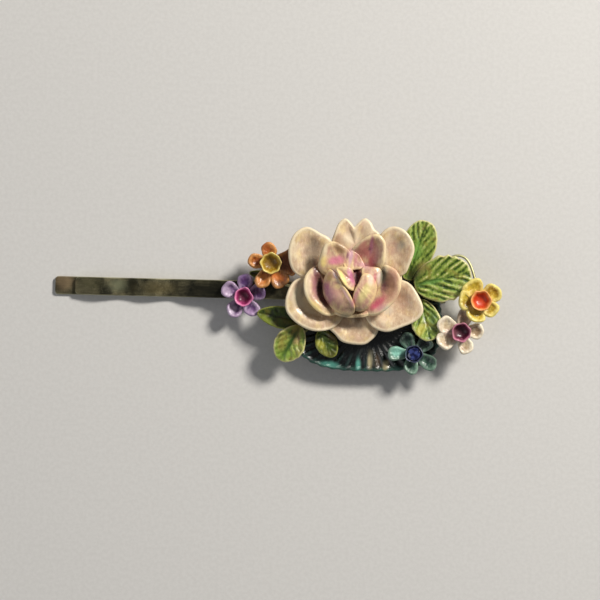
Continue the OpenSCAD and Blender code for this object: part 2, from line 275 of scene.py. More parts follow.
def oval(centre, angle, east, west, north, south, power, spokes, wobble, seed):
    """A squarish oval with its own reach on each side, turned by angle degrees, with an uneven rim."""
    t = np.arange(spokes) * TAU / spokes
    c, s = np.cos(t), np.sin(t)
    a = np.where(c > 0, east, west)
    b = np.where(s > 0, north, south)
    r = (np.abs(c) ** power + np.abs(s) ** power) ** (-1 / power)
    p, q = a * c * r, b * s * r
    swell = 1 + wobble * np.sin(3 * t + seed) + 0.6 * wobble * np.sin(5 * t + 2.3 * seed)
    turn = math.radians(angle)
    x = centre[0] + swell * (p * math.cos(turn) - q * math.sin(turn))
    y = centre[1] + swell * (p * math.sin(turn) + q * math.cos(turn))
    return np.stack([x, y], axis=1)


def local_frame(centre, angle, east, west, north, south):
    """Gives x, y as shares of an oval's reaches: from -1, west, to 1, east, and -1, south, to 1, north."""
    turn = math.radians(angle)

    def shares(x, y):
        dx, dy = x - centre[0], y - centre[1]
        p = dx * math.cos(turn) + dy * math.sin(turn)
        q = -dx * math.sin(turn) + dy * math.cos(turn)
        return np.where(p > 0, p / east, p / west), np.where(q > 0, q / north, q / south)

    return shares


# ---------- materials ----------

def srgb(r, g, b):
    """A display colour, 0 to 255, as linear light with alpha."""
    def channel(v):
        v /= 255
        return v / 12.92 if v <= 0.04045 else ((v + 0.055) / 1.055) ** 2.4
    return (channel(r), channel(g), channel(b), 1.0)


class Nodes:
    """Short calls that add nodes to one material. Lengths are in millimetres."""

    def __init__(self, name):
        self.material = bpy.data.materials.new(name)
        self.material.use_nodes = True
        self.tree = self.material.node_tree
        place = self.add("TexCoord", {}, "Object")
        self.place = self.add("VectorMath", {0: place, "Scale": 1 / MM}, 0, operation="SCALE")

    def fill(self, node, values):
        """Sets a node's sockets to numbers and colours, or links them to other nodes' outputs."""
        for socket, value in values.items():
            if isinstance(value, (int, float, tuple)):
                node.inputs[socket].default_value = value
            else:
                self.tree.links.new(value, node.inputs[socket])

    def add(self, kind, values, output, **settings):
        """Adds a node and gives one of its outputs."""
        node = self.tree.nodes.new("ShaderNode" + kind)
        for setting, value in settings.items():
            setattr(node, setting, value)
        self.fill(node, values)
        return node.outputs[output]

    def stretched(self, x, y, z):
        return self.add("VectorMath", {0: self.place, 1: (x, y, z)}, 0, operation="MULTIPLY")

    def noise(self, size, detail=3.0, rough=0.55, place=None):
        values = {"Scale": 1 / size, "Detail": detail, "Roughness": rough, "Vector": place or self.place}
        return self.add("TexNoise", values, "Fac")

    def field(self, name, output="Fac"):
        return self.add("Attribute", {}, output, attribute_name=name)

    def ramp(self, value, low, high, at_low=0.0, at_high=1.0):
        values = {"Value": value, "From Min": low, "From Max": high, "To Min": at_low, "To Max": at_high}
        return self.add("MapRange", values, "Result", interpolation_type="SMOOTHSTEP")

    def math(self, operation, a, b):
        return self.add("Math", {0: a, 1: b}, 0, operation=operation)

    def mix(self, share, a, b):
        return self.add("Mix", {0: share, 6: a, 7: b}, 2, data_type="RGBA")

    def lay(self, colour, over, value, low, high, at_high=1.0, at_low=0.0):
        """Lays one colour over another by a share that follows the value from low to high."""
        return self.mix(self.ramp(value, low, high, at_low, at_high), colour, over)

    def stirred(self, value, noise, amount):
        """The value, raised and lowered by noise."""
        swing = self.math("MULTIPLY", self.math("SUBTRACT", noise, 0.5), amount)
        return self.math("ADD", value, swing)

    def bump(self, height, distance, strength):
        values = {"Height": height, "Distance": distance * MM, "Strength": strength}
        return self.add("Bump", values, "Normal")

    def finish(self, colour, roughness, normal, metallic=0.0, coat=0.0, coat_roughness=0.15):
        self.fill(self.tree.nodes["Principled BSDF"], {
            "Base Color": colour, "Roughness": roughness, "Normal": normal, "Metallic": metallic,
            "Coat Weight": coat, "Coat Roughness": coat_roughness,
        })
        return self.material


def brushed(n, colour, brush):
    """Lays the piece's paint strokes over a colour, with ragged edges."""
    cover = n.field("cover")
    ragged = n.stirred(cover, brush, 0.55)
    share = n.math("MULTIPLY", n.ramp(ragged, 0.05, 1.0, 0, 0.95), n.ramp(cover, 0.01, 0.15))
    return n.mix(share, colour, n.field("paint", "Color"))


def enamel(name, light, dark, rim, stain, tints=(), gloss=0.38):
    """Hand-painted enamel: blotched between two tones, paler at the rims, with a brushed stain."""
    n = Nodes(name)
    light, dark, rim, stain = srgb(*light), srgb(*dark), srgb(*rim), srgb(*stain)
    clouds = n.noise(2.4, 4)
    brush = n.noise(0.42, 4, 0.62, n.stretched(1.0, 0.4, 0.8))
    grit = n.noise(0.14, 2)
    colour = n.lay(dark, light, clouds, 0.36, 0.64)
    if tints:
        warm = n.noise(1.7, 3, place=n.stretched(0.9, 0.7, 1.3))
        cool = n.noise(2.1, 3, place=n.stretched(1.3, 0.8, 0.7))
        colour = n.lay(colour, srgb(*tints[0]), warm, 0.48, 0.64, 0.65)
        colour = n.lay(colour, srgb(*tints[1]), cool, 0.5, 0.66, 0.6)
    colour = n.lay(colour, dark, brush, 0.46, 0.66, 0.6)
    colour = n.lay(colour, rim, brush, 0.46, 0.36, 0.45)
    # The hollow number is the height of the enamel streaks: darker in their troughs as painted shade, paler
    # on their crests as painted highlight.
    colour = n.lay(colour, dark, n.field("hollow"), 0.0, -0.04, 0.4)
    colour = n.lay(colour, rim, n.field("hollow"), 0.005, 0.04, 0.45)
    patchy = n.stirred(n.stirred(n.field("stain"), clouds, 0.9), brush, 0.5)
    patchy = n.math("MULTIPLY", n.ramp(patchy, 0.25, 0.85), n.ramp(n.field("stain"), 0.02, 0.2))
    colour = n.mix(n.math("MULTIPLY", patchy, 0.9), colour, stain)
    ragged = n.stirred(n.field("edge"), brush, 0.5)
    colour = n.lay(colour, rim, ragged, 0.175, 0.75, 0, 0.75)
    colour = brushed(n, colour, brush)
    colour = n.lay(colour, dark, grit, 0.56, 0.76, 0.34)
    colour = n.lay(colour, rim, grit, 0.44, 0.28, 0.3)
    roughness = n.ramp(brush, 0.3, 0.75, gloss, gloss + 0.22)
    lumps = n.math("ADD", n.math("MULTIPLY", brush, 0.7), n.math("MULTIPLY", grit, 0.3))
    return n.finish(colour, roughness, n.bump(lumps, 0.09, 0.75), coat=0.2)


def leaf_paint(name, light, dark, rim, olive):
    """Leaf enamel: dark green in the grooves, pale on ribs and rim, with olive blotches."""
    n = Nodes(name)
    light, dark, rim, olive = srgb(*light), srgb(*dark), srgb(*rim), srgb(*olive)
    clouds = n.noise(1.9, 4)
    patches = n.noise(1.3, 4, 0.6)
    fine = n.noise(0.3, 3, place=n.stretched(1.0, 0.6, 1.0))
    grit = n.noise(0.1, 2)
    height = n.stirred(n.stirred(n.field("hollow"), fine, 0.34), patches, 0.42)
    colour = n.lay(dark, light, height, -0.15, 0.07)
    colour = n.lay(colour, olive, clouds, 0.5, 0.68, 0.6)
    colour = n.lay(colour, rim, height, 0.05, 0.19, 0.75)
    colour = n.lay(colour, rim, n.stirred(n.field("edge"), fine, 0.5), 0.08, 0.34, 0, 0.7)
    colour = brushed(n, colour, fine)
    colour = n.lay(colour, dark, grit, 0.58, 0.8, 0.35)
    roughness = n.ramp(fine, 0.3, 0.7, 0.3, 0.5)
    lumps = n.math("ADD", fine, n.math("MULTIPLY", grit, 0.4))
    return n.finish(colour, roughness, n.bump(lumps, 0.07, 0.8), coat=0.12)


def antique_brass(name, light, dark, dust, edge, grain=1.0):
    """Brass plating gone olive-brown: blotches, pale dusty grains, pale edges and drawing marks. The pale
    edges are partly rubbed plating and partly a painted highlight.
    """
    n = Nodes(name)
    light, dark, dust, edge = srgb(*light), srgb(*dark), srgb(*dust), srgb(*edge)
    clouds = n.noise(3.0, 5, 0.6)
    drawn = n.noise(0.5, 3, place=n.stretched(0.12, 1.6, 1.6))
    grains = n.noise(0.16, 2, 0.7)
    colour = n.lay(dark, light, clouds, 0.38, 0.62)
    colour = n.lay(colour, dark, drawn, 0.35, 0.7, 0.45)
    colour = n.lay(colour, dust, grains, 0.56, 0.7, 0.5 * grain)
    # Pale edges: partly rubbed plating, partly a painted highlight where the strip's edges catch the light.
    colour = n.lay(colour, edge, n.field("edge"), 0.03, 0.2, 0, 0.65)
    colour = brushed(n, colour, drawn)
    roughness = n.ramp(clouds, 0.3, 0.7, 0.36, 0.58)
    lumps = n.math("ADD", n.math("MULTIPLY", drawn, 0.6), n.math("MULTIPLY", grains, 0.5))
    return n.finish(colour, roughness, n.bump(lumps, 0.03, 0.7), metallic=0.7)


def glazed_plate(name):
    """Teal glaze, near black inside and darkest in the flute hollows, brighter teal toward the rim, worn to
    dull gilt in places. The near black inside is partly painted shade, and the brighter rim partly painted
    light.
    """
    n = Nodes(name)
    clouds = n.noise(1.6, 4)
    fine = n.noise(0.3, 3)
    grit = n.noise(0.1, 2)
    height = n.stirred(n.field("hollow"), clouds, 0.9)
    near_rim = n.math("ADD", n.field("edge"), n.math("MULTIPLY", clouds, 2.5))
    # Near black over the inner plate: partly the glaze's own colour, partly painted shade.
    colour = n.lay(srgb(3, 7, 7), srgb(20, 44, 40), height, -0.1, 1.1)
    # Brighter teal near the rim: partly the glaze's own colour, partly painted light on the lit rim.
    colour = n.lay(colour, srgb(58, 104, 90), near_rim, 1.0, 2.2, 0, 0.75)
    colour = n.lay(colour, srgb(5, 9, 9), fine, 0.56, 0.7, 0.6)
    colour = brushed(n, colour, clouds)
    colour = n.lay(colour, srgb(130, 150, 138), grit, 0.66, 0.8, 0.4)
    roughness = n.ramp(clouds, 0.3, 0.7, 0.2, 0.4)
    normal = n.bump(n.math("ADD", fine, grit), 0.05, 0.8)
    return n.finish(colour, roughness, normal, coat=0.25, coat_roughness=0.12)


def glass_stone(name):
    """Dark blue foiled glass: a glossy, slightly cloudy body, with violet clouds as painted light standing
    for its lit facets.
    """
    n = Nodes(name)
    clouds = n.noise(0.8, 3)
    # The violet clouds are painted light for lit facets.
    colour = n.lay(srgb(8, 14, 66), srgb(72, 86, 156), clouds, 0.42, 0.64)
    roughness = n.ramp(clouds, 0.3, 0.7, 0.04, 0.12)
    normal = n.bump(clouds, 0.01, 0.3)
    return n.finish(colour, roughness, normal, metallic=0.35, coat=1.0, coat_roughness=0.03)


CREAM = enamel("cream_enamel", (228, 202, 168), (194, 162, 130), (244, 228, 194), (180, 138, 112),
               [(232, 206, 144), (204, 164, 144)])
BLUSH = enamel("blush_enamel", (222, 190, 154), (190, 150, 120), (244, 222, 172), (180, 108, 116),
               [(234, 204, 144), (208, 150, 138)])
HEART = enamel("heart_enamel", (222, 188, 152), (190, 142, 122), (244, 218, 160), (80, 26, 36),
               [(230, 202, 140), (204, 138, 136)])
LEAF = leaf_paint("leaf_enamel", (146, 168, 72), (50, 76, 16), (228, 218, 156), (156, 138, 62))
DARK_LEAF = leaf_paint("dark_leaf_enamel", (64, 84, 16), (20, 32, 2), (160, 164, 76), (94, 84, 22))
TEAL = glazed_plate("teal_glaze")
PURPLE = enamel("purple_enamel", (112, 78, 126), (58, 32, 74), (184, 160, 188), (42, 16, 52),
                [(146, 116, 156), (84, 46, 100)])
MAGENTA = enamel("magenta_enamel", (206, 84, 146), (150, 30, 92), (232, 140, 184), (84, 6, 46), gloss=0.34)
ORANGE = enamel("orange_enamel", (182, 94, 34), (112, 54, 16), (220, 158, 92), (74, 32, 10),
                [(212, 136, 54), (140, 60, 20)])
OCHRE = enamel("ochre_enamel", (214, 184, 74), (166, 128, 28), (230, 210, 120), (120, 86, 10), gloss=0.34)
YELLOW = enamel("yellow_enamel", (214, 186, 58), (158, 126, 24), (238, 222, 132), (176, 104, 20),
                [(222, 196, 76), (170, 158, 34)])
AMBER = enamel("amber_enamel", (232, 140, 76), (216, 92, 34), (240, 176, 104), (190, 44, 10), gloss=0.34)
WHITE = enamel("white_enamel", (222, 204, 168), (170, 142, 110), (246, 236, 212), (140, 100, 90),
               [(222, 204, 164), (184, 150, 130)])
MAROON = enamel("maroon_enamel", (132, 40, 80), (76, 8, 38), (206, 132, 154), (56, 2, 22), gloss=0.34)
SEAFOAM = enamel("seafoam_enamel", (54, 90, 76), (18, 42, 34), (128, 158, 138), (8, 20, 18),
                 [(84, 126, 106), (28, 56, 44)], gloss=0.28)
MIDNIGHT = enamel("midnight_enamel", (20, 24, 52), (6, 8, 26), (70, 78, 104), (4, 6, 18), gloss=0.28)
BRASS = antique_brass("antique_brass", (108, 102, 76), (48, 47, 34), (150, 146, 118), (186, 182, 148))
GILT = antique_brass("gilt_brass", (196, 158, 84), (120, 88, 40), (210, 190, 130), (220, 200, 140), 0.4)
WIRE = antique_brass("stem_brass", (206, 204, 160), (150, 144, 100), (224, 220, 180), (220, 210, 160), 0.6)

# Strokes of paint over the enamel, as painted() reads them. Most are the pieces' own colours; the strokes
# marked below are painted shade, painted shadows and painted light.
PINK, ROSY, MAUVE, CRIMSON = (218, 126, 150), (168, 96, 90), (160, 94, 116), (160, 64, 76)
WINE, WINE_IN_SHADE, BUTTER, IVORY = (96, 34, 50), (48, 14, 20), (248, 224, 138), (248, 230, 192)
TAN, SLATE, SHADOW_BROWN = (170, 130, 92), (128, 122, 106), (110, 88, 62)
ROSE_PAINT = [
    # The first two strokes: painted shade inside the upper left outer petal, and painted light over the
    # lower left outer petal where the left middle petal's shadow falls.
    (-6.8, 4.6, 2.6, 1.6, 80, (148, 130, 110), 0.85), (-8.9, -2.6, 2.1, 1.3, 80, (220, 206, 172), 0.92),
    # The grey stroke at (-8.3, -1.6) is partly brushwork and partly painted shade, where the left middle
    # petal's shadow falls.
    (-7.3, -4.7, 2.2, 0.8, -42, (214, 196, 160), 0.75), (-8.3, -1.6, 1.3, 0.25, 85, SLATE, 0.6),
    (-6.2, -5.9, 2.2, 0.3, -14, TAN, 0.6), (6.4, 5.8, 1.6, 1.2, 90, (216, 174, 158), 0.55),
    (7.8, 6.2, 1, 0.7, 60, (176, 176, 166), 0.6), (8.2, -2.6, 2.2, 1.3, 60, (200, 158, 128), 0.6),
    # The pale grey stroke at (5.8, -4.6) is a painted highlight inside the lower right outer petal.
    (5.8, -4.6, 1.2, 0.9, 0, (214, 210, 190), 0.6), (8.4, 0.6, 1.2, 0.7, 80, IVORY, 0.7),
    # The stroke at (0.9, -5.9) is a painted shadow on the bottom petal, below the middle petals.
    (0.9, -5.9, 1.4, 1, -70, SHADOW_BROWN, 0.8), (-1.2, -5.7, 1, 0.6, 0, SLATE, 0.6),
    # The tan stroke at (-2.2, 5.8) is a painted shadow between the top petal and the upper left middle
    # petal.
    (-2.2, 5.8, 1.3, 0.5, -35, TAN, 0.8), (-0.3, 7.2, 2.2, 1.4, 20, (236, 222, 192), 0.7),
    (-4.7, 5.1, 1.8, 0.4, 85, IVORY, 0.75), (-4.9, 3.1, 1, 0.6, 80, BUTTER, 0.9),
    # The brown stroke at (-2.5, 5.3) is more of the same painted shadow.
    (5.4, 4.2, 2.2, 0.4, 93, IVORY, 0.75), (-2.5, 5.3, 1.1, 0.6, -45, (150, 114, 76), 0.85),
    (-2.9, 3.4, 1.5, 0.85, 8, PINK, 0.95), (1.8, 4.9, 2, 1.3, 35, ROSY, 0.95),
    (3.4, 4.6, 2.3, 1, 88, (160, 98, 86), 0.9), (2.9, 6.1, 1.7, 0.35, 86, MAUVE, 0.9),
    (2.6, 5.4, 0.3, 0.25, 0, (76, 34, 58), 0.8), (3, 3.2, 1.3, 0.8, 75, CRIMSON, 0.9),
    (1.6, 2.7, 1.1, 0.6, -30, (218, 158, 166), 0.75), (6.5, 0.5, 2.6, 1.1, 85, (206, 152, 126), 0.85),
    # The grey-green stroke at (4.9, 1) is a painted shadow in the hollow of the right middle petal.
    (4.9, 1, 1.8, 0.6, 88, (112, 116, 102), 0.9), (5.2, -0.9, 1.1, 0.6, 75, (138, 84, 98), 0.75),
    (6.6, -2.2, 1.4, 0.7, 65, (216, 168, 140), 0.7), (4, -3.6, 1.9, 0.75, 42, (206, 92, 118), 0.92),
    (4.6, -4.3, 1.3, 0.5, 40, (222, 156, 162), 0.6), (-6.3, -1.2, 2.8, 0.6, -85, MAUVE, 0.75),
    # The darkest wine stroke at (-5.4, -1.2) is maroon paint deepened with painted shade, deep in the gap
    # between the left middle and left inner petals.
    (-5.9, 1, 1.8, 0.6, -72, WINE, 0.9), (-5.4, -1.2, 2, 0.75, -88, WINE_IN_SHADE, 0.95),
    (-4.6, -3.4, 1.5, 0.65, -48, WINE, 0.9), (-7.5, -0.7, 2.9, 0.6, -88, IVORY, 0.6),
    (-6.1, -4.2, 1.8, 0.6, -42, BUTTER, 0.6), (-4.1, -1.8, 1.9, 0.6, -75, (172, 92, 130), 0.85),
    (-3.9, 0.5, 0.9, 0.5, 60, (170, 138, 84), 0.8), (-2.4, -2.6, 1.8, 0.8, -60, (216, 172, 150), 0.75),
    (-2.9, 1.1, 1.1, 0.4, -62, (232, 206, 206), 0.85), (-2.5, -0.9, 0.8, 0.5, 0, (226, 204, 136), 0.6),
    (-0.9, -2.6, 2, 0.22, -58, (236, 190, 184), 0.9), (-1.75, 0.55, 1.7, 0.4, -66, BUTTER, 0.95),
    (-0.3, 0.7, 1.7, 0.55, -70, (206, 120, 158), 0.9), (0.7, 1, 1.4, 0.75, -80, WINE, 0.9),
    (0.5, -2.6, 2, 0.5, 70, (196, 122, 138), 0.85), (1.9, -1.9, 2.3, 0.85, 62, (232, 216, 146), 0.85),
    (2.9, 0.6, 1.3, 0.5, 90, (240, 206, 190), 0.8), (3.6, 0.7, 1.2, 0.25, 90, (212, 120, 130), 0.75),
    (4.2, 0.9, 1.4, 0.3, 90, (238, 214, 200), 0.8), (1.4, 6, 1.3, 0.5, 45, (190, 124, 110), 0.8),
    (-0.6, 4.7, 1, 0.5, -55, (190, 138, 122), 0.75), (-3.4, -2.4, 1.6, 0.8, -70, (206, 134, 140), 0.5),
    (-0.5, 4, 1.5, 0.4, 85, (226, 180, 196), 0.85), (-1.05, 4.2, 0.8, 0.2, 85, (120, 62, 92), 0.8),
    # The thin stroke at (0.3, -4.6) is a painted shadow under the inner petals' lower edge.
    (0.3, 3.6, 1.2, 0.3, 85, (206, 136, 138), 0.8), (0.3, -4.6, 1.8, 0.3, -4, SHADOW_BROWN, 0.6),
]
LEAF_PAINT = [
    (-14.1, -6.9, 2, 0.7, -41, (126, 138, 40), 0.85), (-12.8, -4.1, 2.2, 0.3, 4, (160, 166, 104), 0.7),
    (-9.1, -8.3, 1.8, 0.9, 60, (142, 114, 48), 0.75), (-11, -12.4, 1.8, 0.8, 10, (130, 160, 60), 0.7),
    (-10.1, -10.4, 2.6, 0.45, 60, (44, 84, 22), 0.9), (-11.6, -10.8, 1.1, 0.8, 70, (150, 140, 62), 0.7),
    (-8.6, -11.6, 1.4, 0.5, 70, (150, 140, 70), 0.6), (-5.1, -10.6, 1.2, 0.7, -50, (170, 168, 60), 0.8),
    (-3.1, -9.2, 1.2, 0.8, -50, (100, 78, 28), 0.75), (-4.2, -12, 0.9, 0.6, 0, (140, 140, 60), 0.6),
    (11.4, -7.8, 1.5, 0.8, 60, (198, 190, 84), 0.8), (13.4, -5.8, 1.6, 0.6, 80, (50, 84, 28), 0.7),
    (11.4, 2.6, 1.3, 1, 60, (146, 126, 74), 0.65), (13, 0.2, 2.4, 0.5, 14, (112, 158, 74), 0.7),
    (10.4, 5.4, 2, 1.2, 70, (122, 172, 78), 0.7), (14, 7.3, 1.8, 0.3, 92, (214, 216, 160), 0.8),
    # The dark green stroke at (10, 1.2) is painted shade in the gap between the right leaves beside the
    # rose.
    (10, 1.2, 1.6, 1.2, 60, (24, 46, 18), 0.85), (16.2, -1.6, 1.6, 0.4, -20, (196, 186, 112), 0.6),
    (-9, -10, 1, 0.5, 60, (196, 160, 112), 0.6), (-12, -9.3, 0.9, 0.4, 50, (60, 66, 24), 0.7),
    (13.6, 9, 1.6, 0.4, 80, (196, 204, 128), 0.6), (-7.2, -9.6, 2, 0.3, 75, (70, 70, 26), 0.6),
]
# Strokes on the grip are painted light and shade: lit and dark bands along the legs, a lit tip, and a
# painted shadow of the flowers where the legs run under them.
GRIP_PAINTED_LIGHT_AND_SHADE = [
    (-48, -1.2, 1.8, 1.6, 0, (156, 134, 102), 0.75), (-39, -1.6, 1.8, 1.3, 0, (116, 120, 94), 0.6),
    (-36.7, -1.7, 1.8, 0.8, 90, (40, 38, 24), 0.8), (-32.3, -1.9, 3.4, 1.3, 0, (116, 104, 68), 0.55),
    (-24, -2.2, 5.4, 2, 0, (24, 24, 15), 0.9), (-43.5, -1.4, 2.4, 1.1, 0, (96, 92, 62), 0.5),
]
PURPLE_PAINT = [
    (-20.8, -2.3, 1.4, 0.8, 110, (208, 186, 212), 0.7), (-20.1, -5.3, 1.2, 0.8, 45, (216, 200, 220), 0.75),
    (-17, -5.6, 1.1, 0.7, 0, (186, 156, 196), 0.6), (-18, -0.1, 1.5, 1.1, 100, (88, 54, 112), 0.8),
    (-15.2, -2.2, 1.6, 1.2, 20, (66, 36, 84), 0.85),
]
ORANGE_PAINT = [
    (-10.7, 3, 2.4, 1.7, 80, (98, 52, 20), 0.9), (-11.4, -0.9, 1.6, 0.9, -10, (92, 54, 24), 0.85),
    (-12.6, 0.5, 1.3, 0.55, -8, (214, 118, 44), 0.9), (-15, 0, 1.2, 0.9, 60, (214, 134, 60), 0.8),
    (-14.7, 5.3, 1.5, 0.8, 100, (172, 90, 38), 0.8),
]
WHITE_PAINT = [
    # The brown stroke at (17.9, -5.2) is a painted shadow of the yellow flower on the white flower's top
    # petal.
    (17.9, -5.2, 1.4, 1.1, 90, (140, 116, 98), 0.8), (14.6, -7.6, 1.6, 0.5, 70, (226, 210, 178), 0.5),
    (20.6, -7.9, 1.1, 0.7, 0, (156, 128, 98), 0.75), (16.2, -8.2, 0.9, 1.5, 90, (176, 128, 132), 0.5),
]
TEAL_PAINT = [
    (7.7, -11.5, 1.3, 1.1, 0, (150, 214, 194), 0.8), (13.2, -12.8, 1.4, 0.9, -20, (18, 44, 34), 0.85),
    # These two near black strokes are a painted shadow of the rose on the teal flower's upper petals.
    (8.8, -9, 1.6, 1.2, 120, (10, 20, 20), 0.92), (12.2, -9.4, 1.6, 1.2, 60, (8, 18, 20), 0.92),
]
PLATE_PAINT = [
    (3.2, -13, 1.6, 0.5, 88, (176, 166, 128), 0.75), (4.4, -13.2, 1.6, 0.6, 88, (80, 62, 40), 0.7),
    (5.8, -13.8, 0.9, 0.6, 80, (206, 190, 146), 0.8), (1.2, -13.8, 1.2, 0.5, 90, (96, 172, 156), 0.7),
    # The long dark stroke at (0, -10.8) is a painted shadow of the rose on the plate.
    (-3.6, -13.8, 2, 0.6, -12, (88, 158, 142), 0.7), (0, -10.8, 5, 1.2, 0, (12, 22, 20), 0.7),
]
STONE = glass_stone("blue_stone")


# ---------- grip ----------

def strip(shape, stations, half_widths, seed, corner=0.13, across=14):
    """A strip with rounded long edges. Stations are its middle line's (x, z, slope)."""
    half = STRIP_THICKNESS / 2
    turn = np.linspace(0, math.pi / 2, 5)
    rings, edges = [], []
    for (x, z, slope), width in zip(stations, half_widths):
        width = max(width, corner + 0.01)
        side = width - corner
        section = []
        for end in (1, -1):
            section += [(end * (side + corner * math.cos(a)), end * (half - corner + corner * math.sin(a)))
                        for a in turn]
            section += [(end * (side - 2 * side * i / across), end * half) for i in range(1, across)]
            section += [(-end * (side + corner * math.cos(a)), end * (half - corner + corner * math.sin(a)))
                        for a in turn[::-1]]
        section = np.array(section)
        rings.append(np.stack([x - section[:, 1] * math.sin(slope), section[:, 0],
                               z + section[:, 1] * math.cos(slope)], axis=1))
        edges.append(width - np.abs(section[:, 0]))
    spokes = len(rings[0])
    points = np.concatenate(rings)
    points[:, 2] += 0.012 * rough_field(points, 1.5, seed)
    points[:, 2] = np.maximum(points[:, 2], 0)
    faces = ring_faces(len(rings), spokes)
    faces.append(tuple(reversed(range(spokes))))
    faces.append(tuple(range((len(rings) - 1) * spokes, len(rings) * spokes)))
    shape.add(points, faces, edge=np.concatenate(edges))


def tip_widths(xs, tip, radius):
    """Half widths of a strip whose corners at the tip are rounded to radius."""
    into = np.clip(radius - (xs - tip), 0, radius)
    return STRIP_HALF_WIDTH - radius + np.sqrt(np.maximum(radius ** 2 - into ** 2, 0))


def make_grip():
    half = STRIP_THICKNESS / 2
    joint = frame["joints"][0]["pos_m"]
    bend_x, hinge_z = joint[0] / MM, joint[2] / MM
    bend_z = (hinge_z + half) / 2
    low_tip = box_mm("lower_leg")[0][0]
    high_tip = box_mm("upper_leg")[0][0]

    def marks(tip, radius, count, along):
        """Places along a leg from its tip to the bend, close together round the tip."""
        round_tip = tip + radius * (1 - np.cos(np.linspace(0, math.pi / 2, count)))
        return np.concatenate([round_tip, np.linspace(tip + radius + 0.2, bend_x, along)])

    low_radius, high_radius = 0.5, 0.7
    xs = marks(low_tip, low_radius, 14, 160)
    lower = Shape()
    strip(lower, [(x, half, 0.0) for x in xs], tip_widths(xs, low_tip, low_radius), 2)
    lower.make("grip_lower_leg", BRASS, "lower_leg", GRIP_PAINTED_LIGHT_AND_SHADE, body="lower_leg")

    radius = bend_z - half
    angles = np.linspace(-math.pi / 2, math.pi / 2, 32)
    bend = Shape()
    stations = [(bend_x + radius * math.cos(a), bend_z + radius * math.sin(a), a + math.pi / 2)
                for a in angles]
    strip(bend, stations, [STRIP_HALF_WIDTH] * len(angles), 3)
    piece = bend.make("grip_bend", BRASS, body=None)
    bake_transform(piece)

    crimp_start, crimps, crimp_height = -4.5, 3, 0.55
    low_line = STRIP_THICKNESS + 0.04 + half

    def line(x):
        t = (crimp_start - x) / (crimp_start - high_tip)
        fall = smoothstep(0, 0.35, t)
        wave = crimp_height / 2 * (1 - np.cos(TAU * crimps * t))
        return np.where(t <= 0, hinge_z, hinge_z + (low_line - hinge_z) * fall + wave * fall)

    xs = marks(high_tip, high_radius, 18, 240)
    slopes = np.arctan((line(xs + 0.01) - line(xs - 0.01)) / 0.02)
    upper = Shape()
    strip(upper, list(zip(xs, line(xs), slopes)), tip_widths(xs, high_tip, high_radius), 4)
    upper.make("grip_upper_leg", BRASS, "upper_leg", GRIP_PAINTED_LIGHT_AND_SHADE)


# ---------- turned shapes ----------

def turned(shape, profile, spokes=72, waves=0, wave_depth=0.0, tooth=0.0, lift=None, edge=2.0, stain=0.0,
           lump=0.0, seed=5):
    """A closed solid turned round Z from a (radius, height) profile that runs from the axis to the axis.

    Waves swell and shrink it round the axis, and tooth raises the rim, where the edge number is small.
    """
    angles = np.arange(spokes) * TAU / spokes
    profile = np.array(profile, float)
    body = profile[1:-1]
    swell = 1 + wave_depth * np.cos(waves * angles)
    points = [[r * s * math.cos(a), r * s * math.sin(a), z] for r, z in body for a, s in zip(angles, swell)]
    points += [[0, 0, profile[0][1]], [0, 0, profile[-1][1]]]
    points = np.array(points)
    if tooth:
        near_rim = np.exp(-np.repeat(np.asarray(edge, float)[1:-1], spokes) / 0.3)
        points[:-2, 2] += tooth * near_rim * np.tile(np.cos(waves * angles), len(body))
    if lump:
        shift = lump * rough_field(points, 0.9, seed)
        points[:, :2] *= 1 + 0.5 * shift[:, None]
        points[:-2, 2] += 0.5 * shift[:-2]
    faces = ring_faces(len(body), spokes)
    faces += fan(len(points) - 2, 0, spokes, turned_over=True)
    faces += fan(len(points) - 1, (len(body) - 1) * spokes, spokes)

    def spread(values):
        values = np.asarray(values, float)
        if values.ndim == 0:
            return values
        return np.concatenate([np.repeat(values[1:-1], spokes), [values[0], values[-1]]])

    if lift:
        points = lift(points)
    shape.add(points, faces, edge=spread(edge), stain=spread(stain))


def tube(shape, route, diameter, spokes=16, steps=10):
    """A round wire on a smooth curve through the route's points, with rounded ends."""
    route = np.array(route, float)
    padded = np.concatenate([[2 * route[0] - route[1]], route, [2 * route[-1] - route[-2]]])
    path = []
    for i in range(len(route) - 1):
        shares = np.linspace(0, 1, steps, endpoint=i == len(route) - 2)
        path += [between(*padded[i:i + 4], t) for t in shares]
    path = np.array(path)
    tangents = np.gradient(path, axis=0)
    tangents /= np.linalg.norm(tangents, axis=1)[:, None]
    across = np.stack([tangents[:, 1], -tangents[:, 0], np.zeros(len(path))], axis=1)
    across /= np.linalg.norm(across, axis=1)[:, None]
    up = np.cross(across, tangents)
    angles = np.arange(spokes) * TAU / spokes
    radius = diameter / 2

    def ring(i, r, shift=0.0):
        """A circle of radius r round the path's point i, shifted along the path."""
        middle_point = path[i] + tangents[i] * shift
        return [middle_point + r * (math.cos(a) * across[i] + math.sin(a) * up[i]) for a in angles]

    steps_out = (0.2, 0.5, 0.8, 1.0)
    cap = [(radius * math.sqrt(1.0001 - out * out), radius * out) for out in steps_out]
    rings = [ring(0, r, -shift) for r, shift in reversed(cap)]
    rings += [ring(i, radius) for i in range(len(path))]
    rings += [ring(-1, r, shift) for r, shift in cap]
    points = np.concatenate(rings)
    faces = [tuple(reversed(f)) for f in ring_faces(len(rings), spokes)]
    faces.append(tuple(range(spokes)))
    faces.append(tuple(reversed(range((len(rings) - 1) * spokes, len(rings) * spokes))))
    shape.add(points, faces, edge=1.0)


def make_pad():
    low, high = box_mm("mounting_pad")
    centre, radius = (low + high) / 2, (high[0] - low[0]) / 2
    bevel = 0.1
    profile = [(0, low[2]), (radius - bevel, low[2]), (radius, low[2] + bevel), (radius, high[2] - bevel),
               (radius - bevel, high[2]), (radius * 0.5, high[2]), (0, high[2])]
    pad = Shape()
    turned(pad, profile, lift=lambda p: p + [centre[0], centre[1], 0], edge=[2, 2, 0, 0, 0.2, 2, 2])
    pad.make("mounting_pad_disc", BRASS, "mounting_pad")


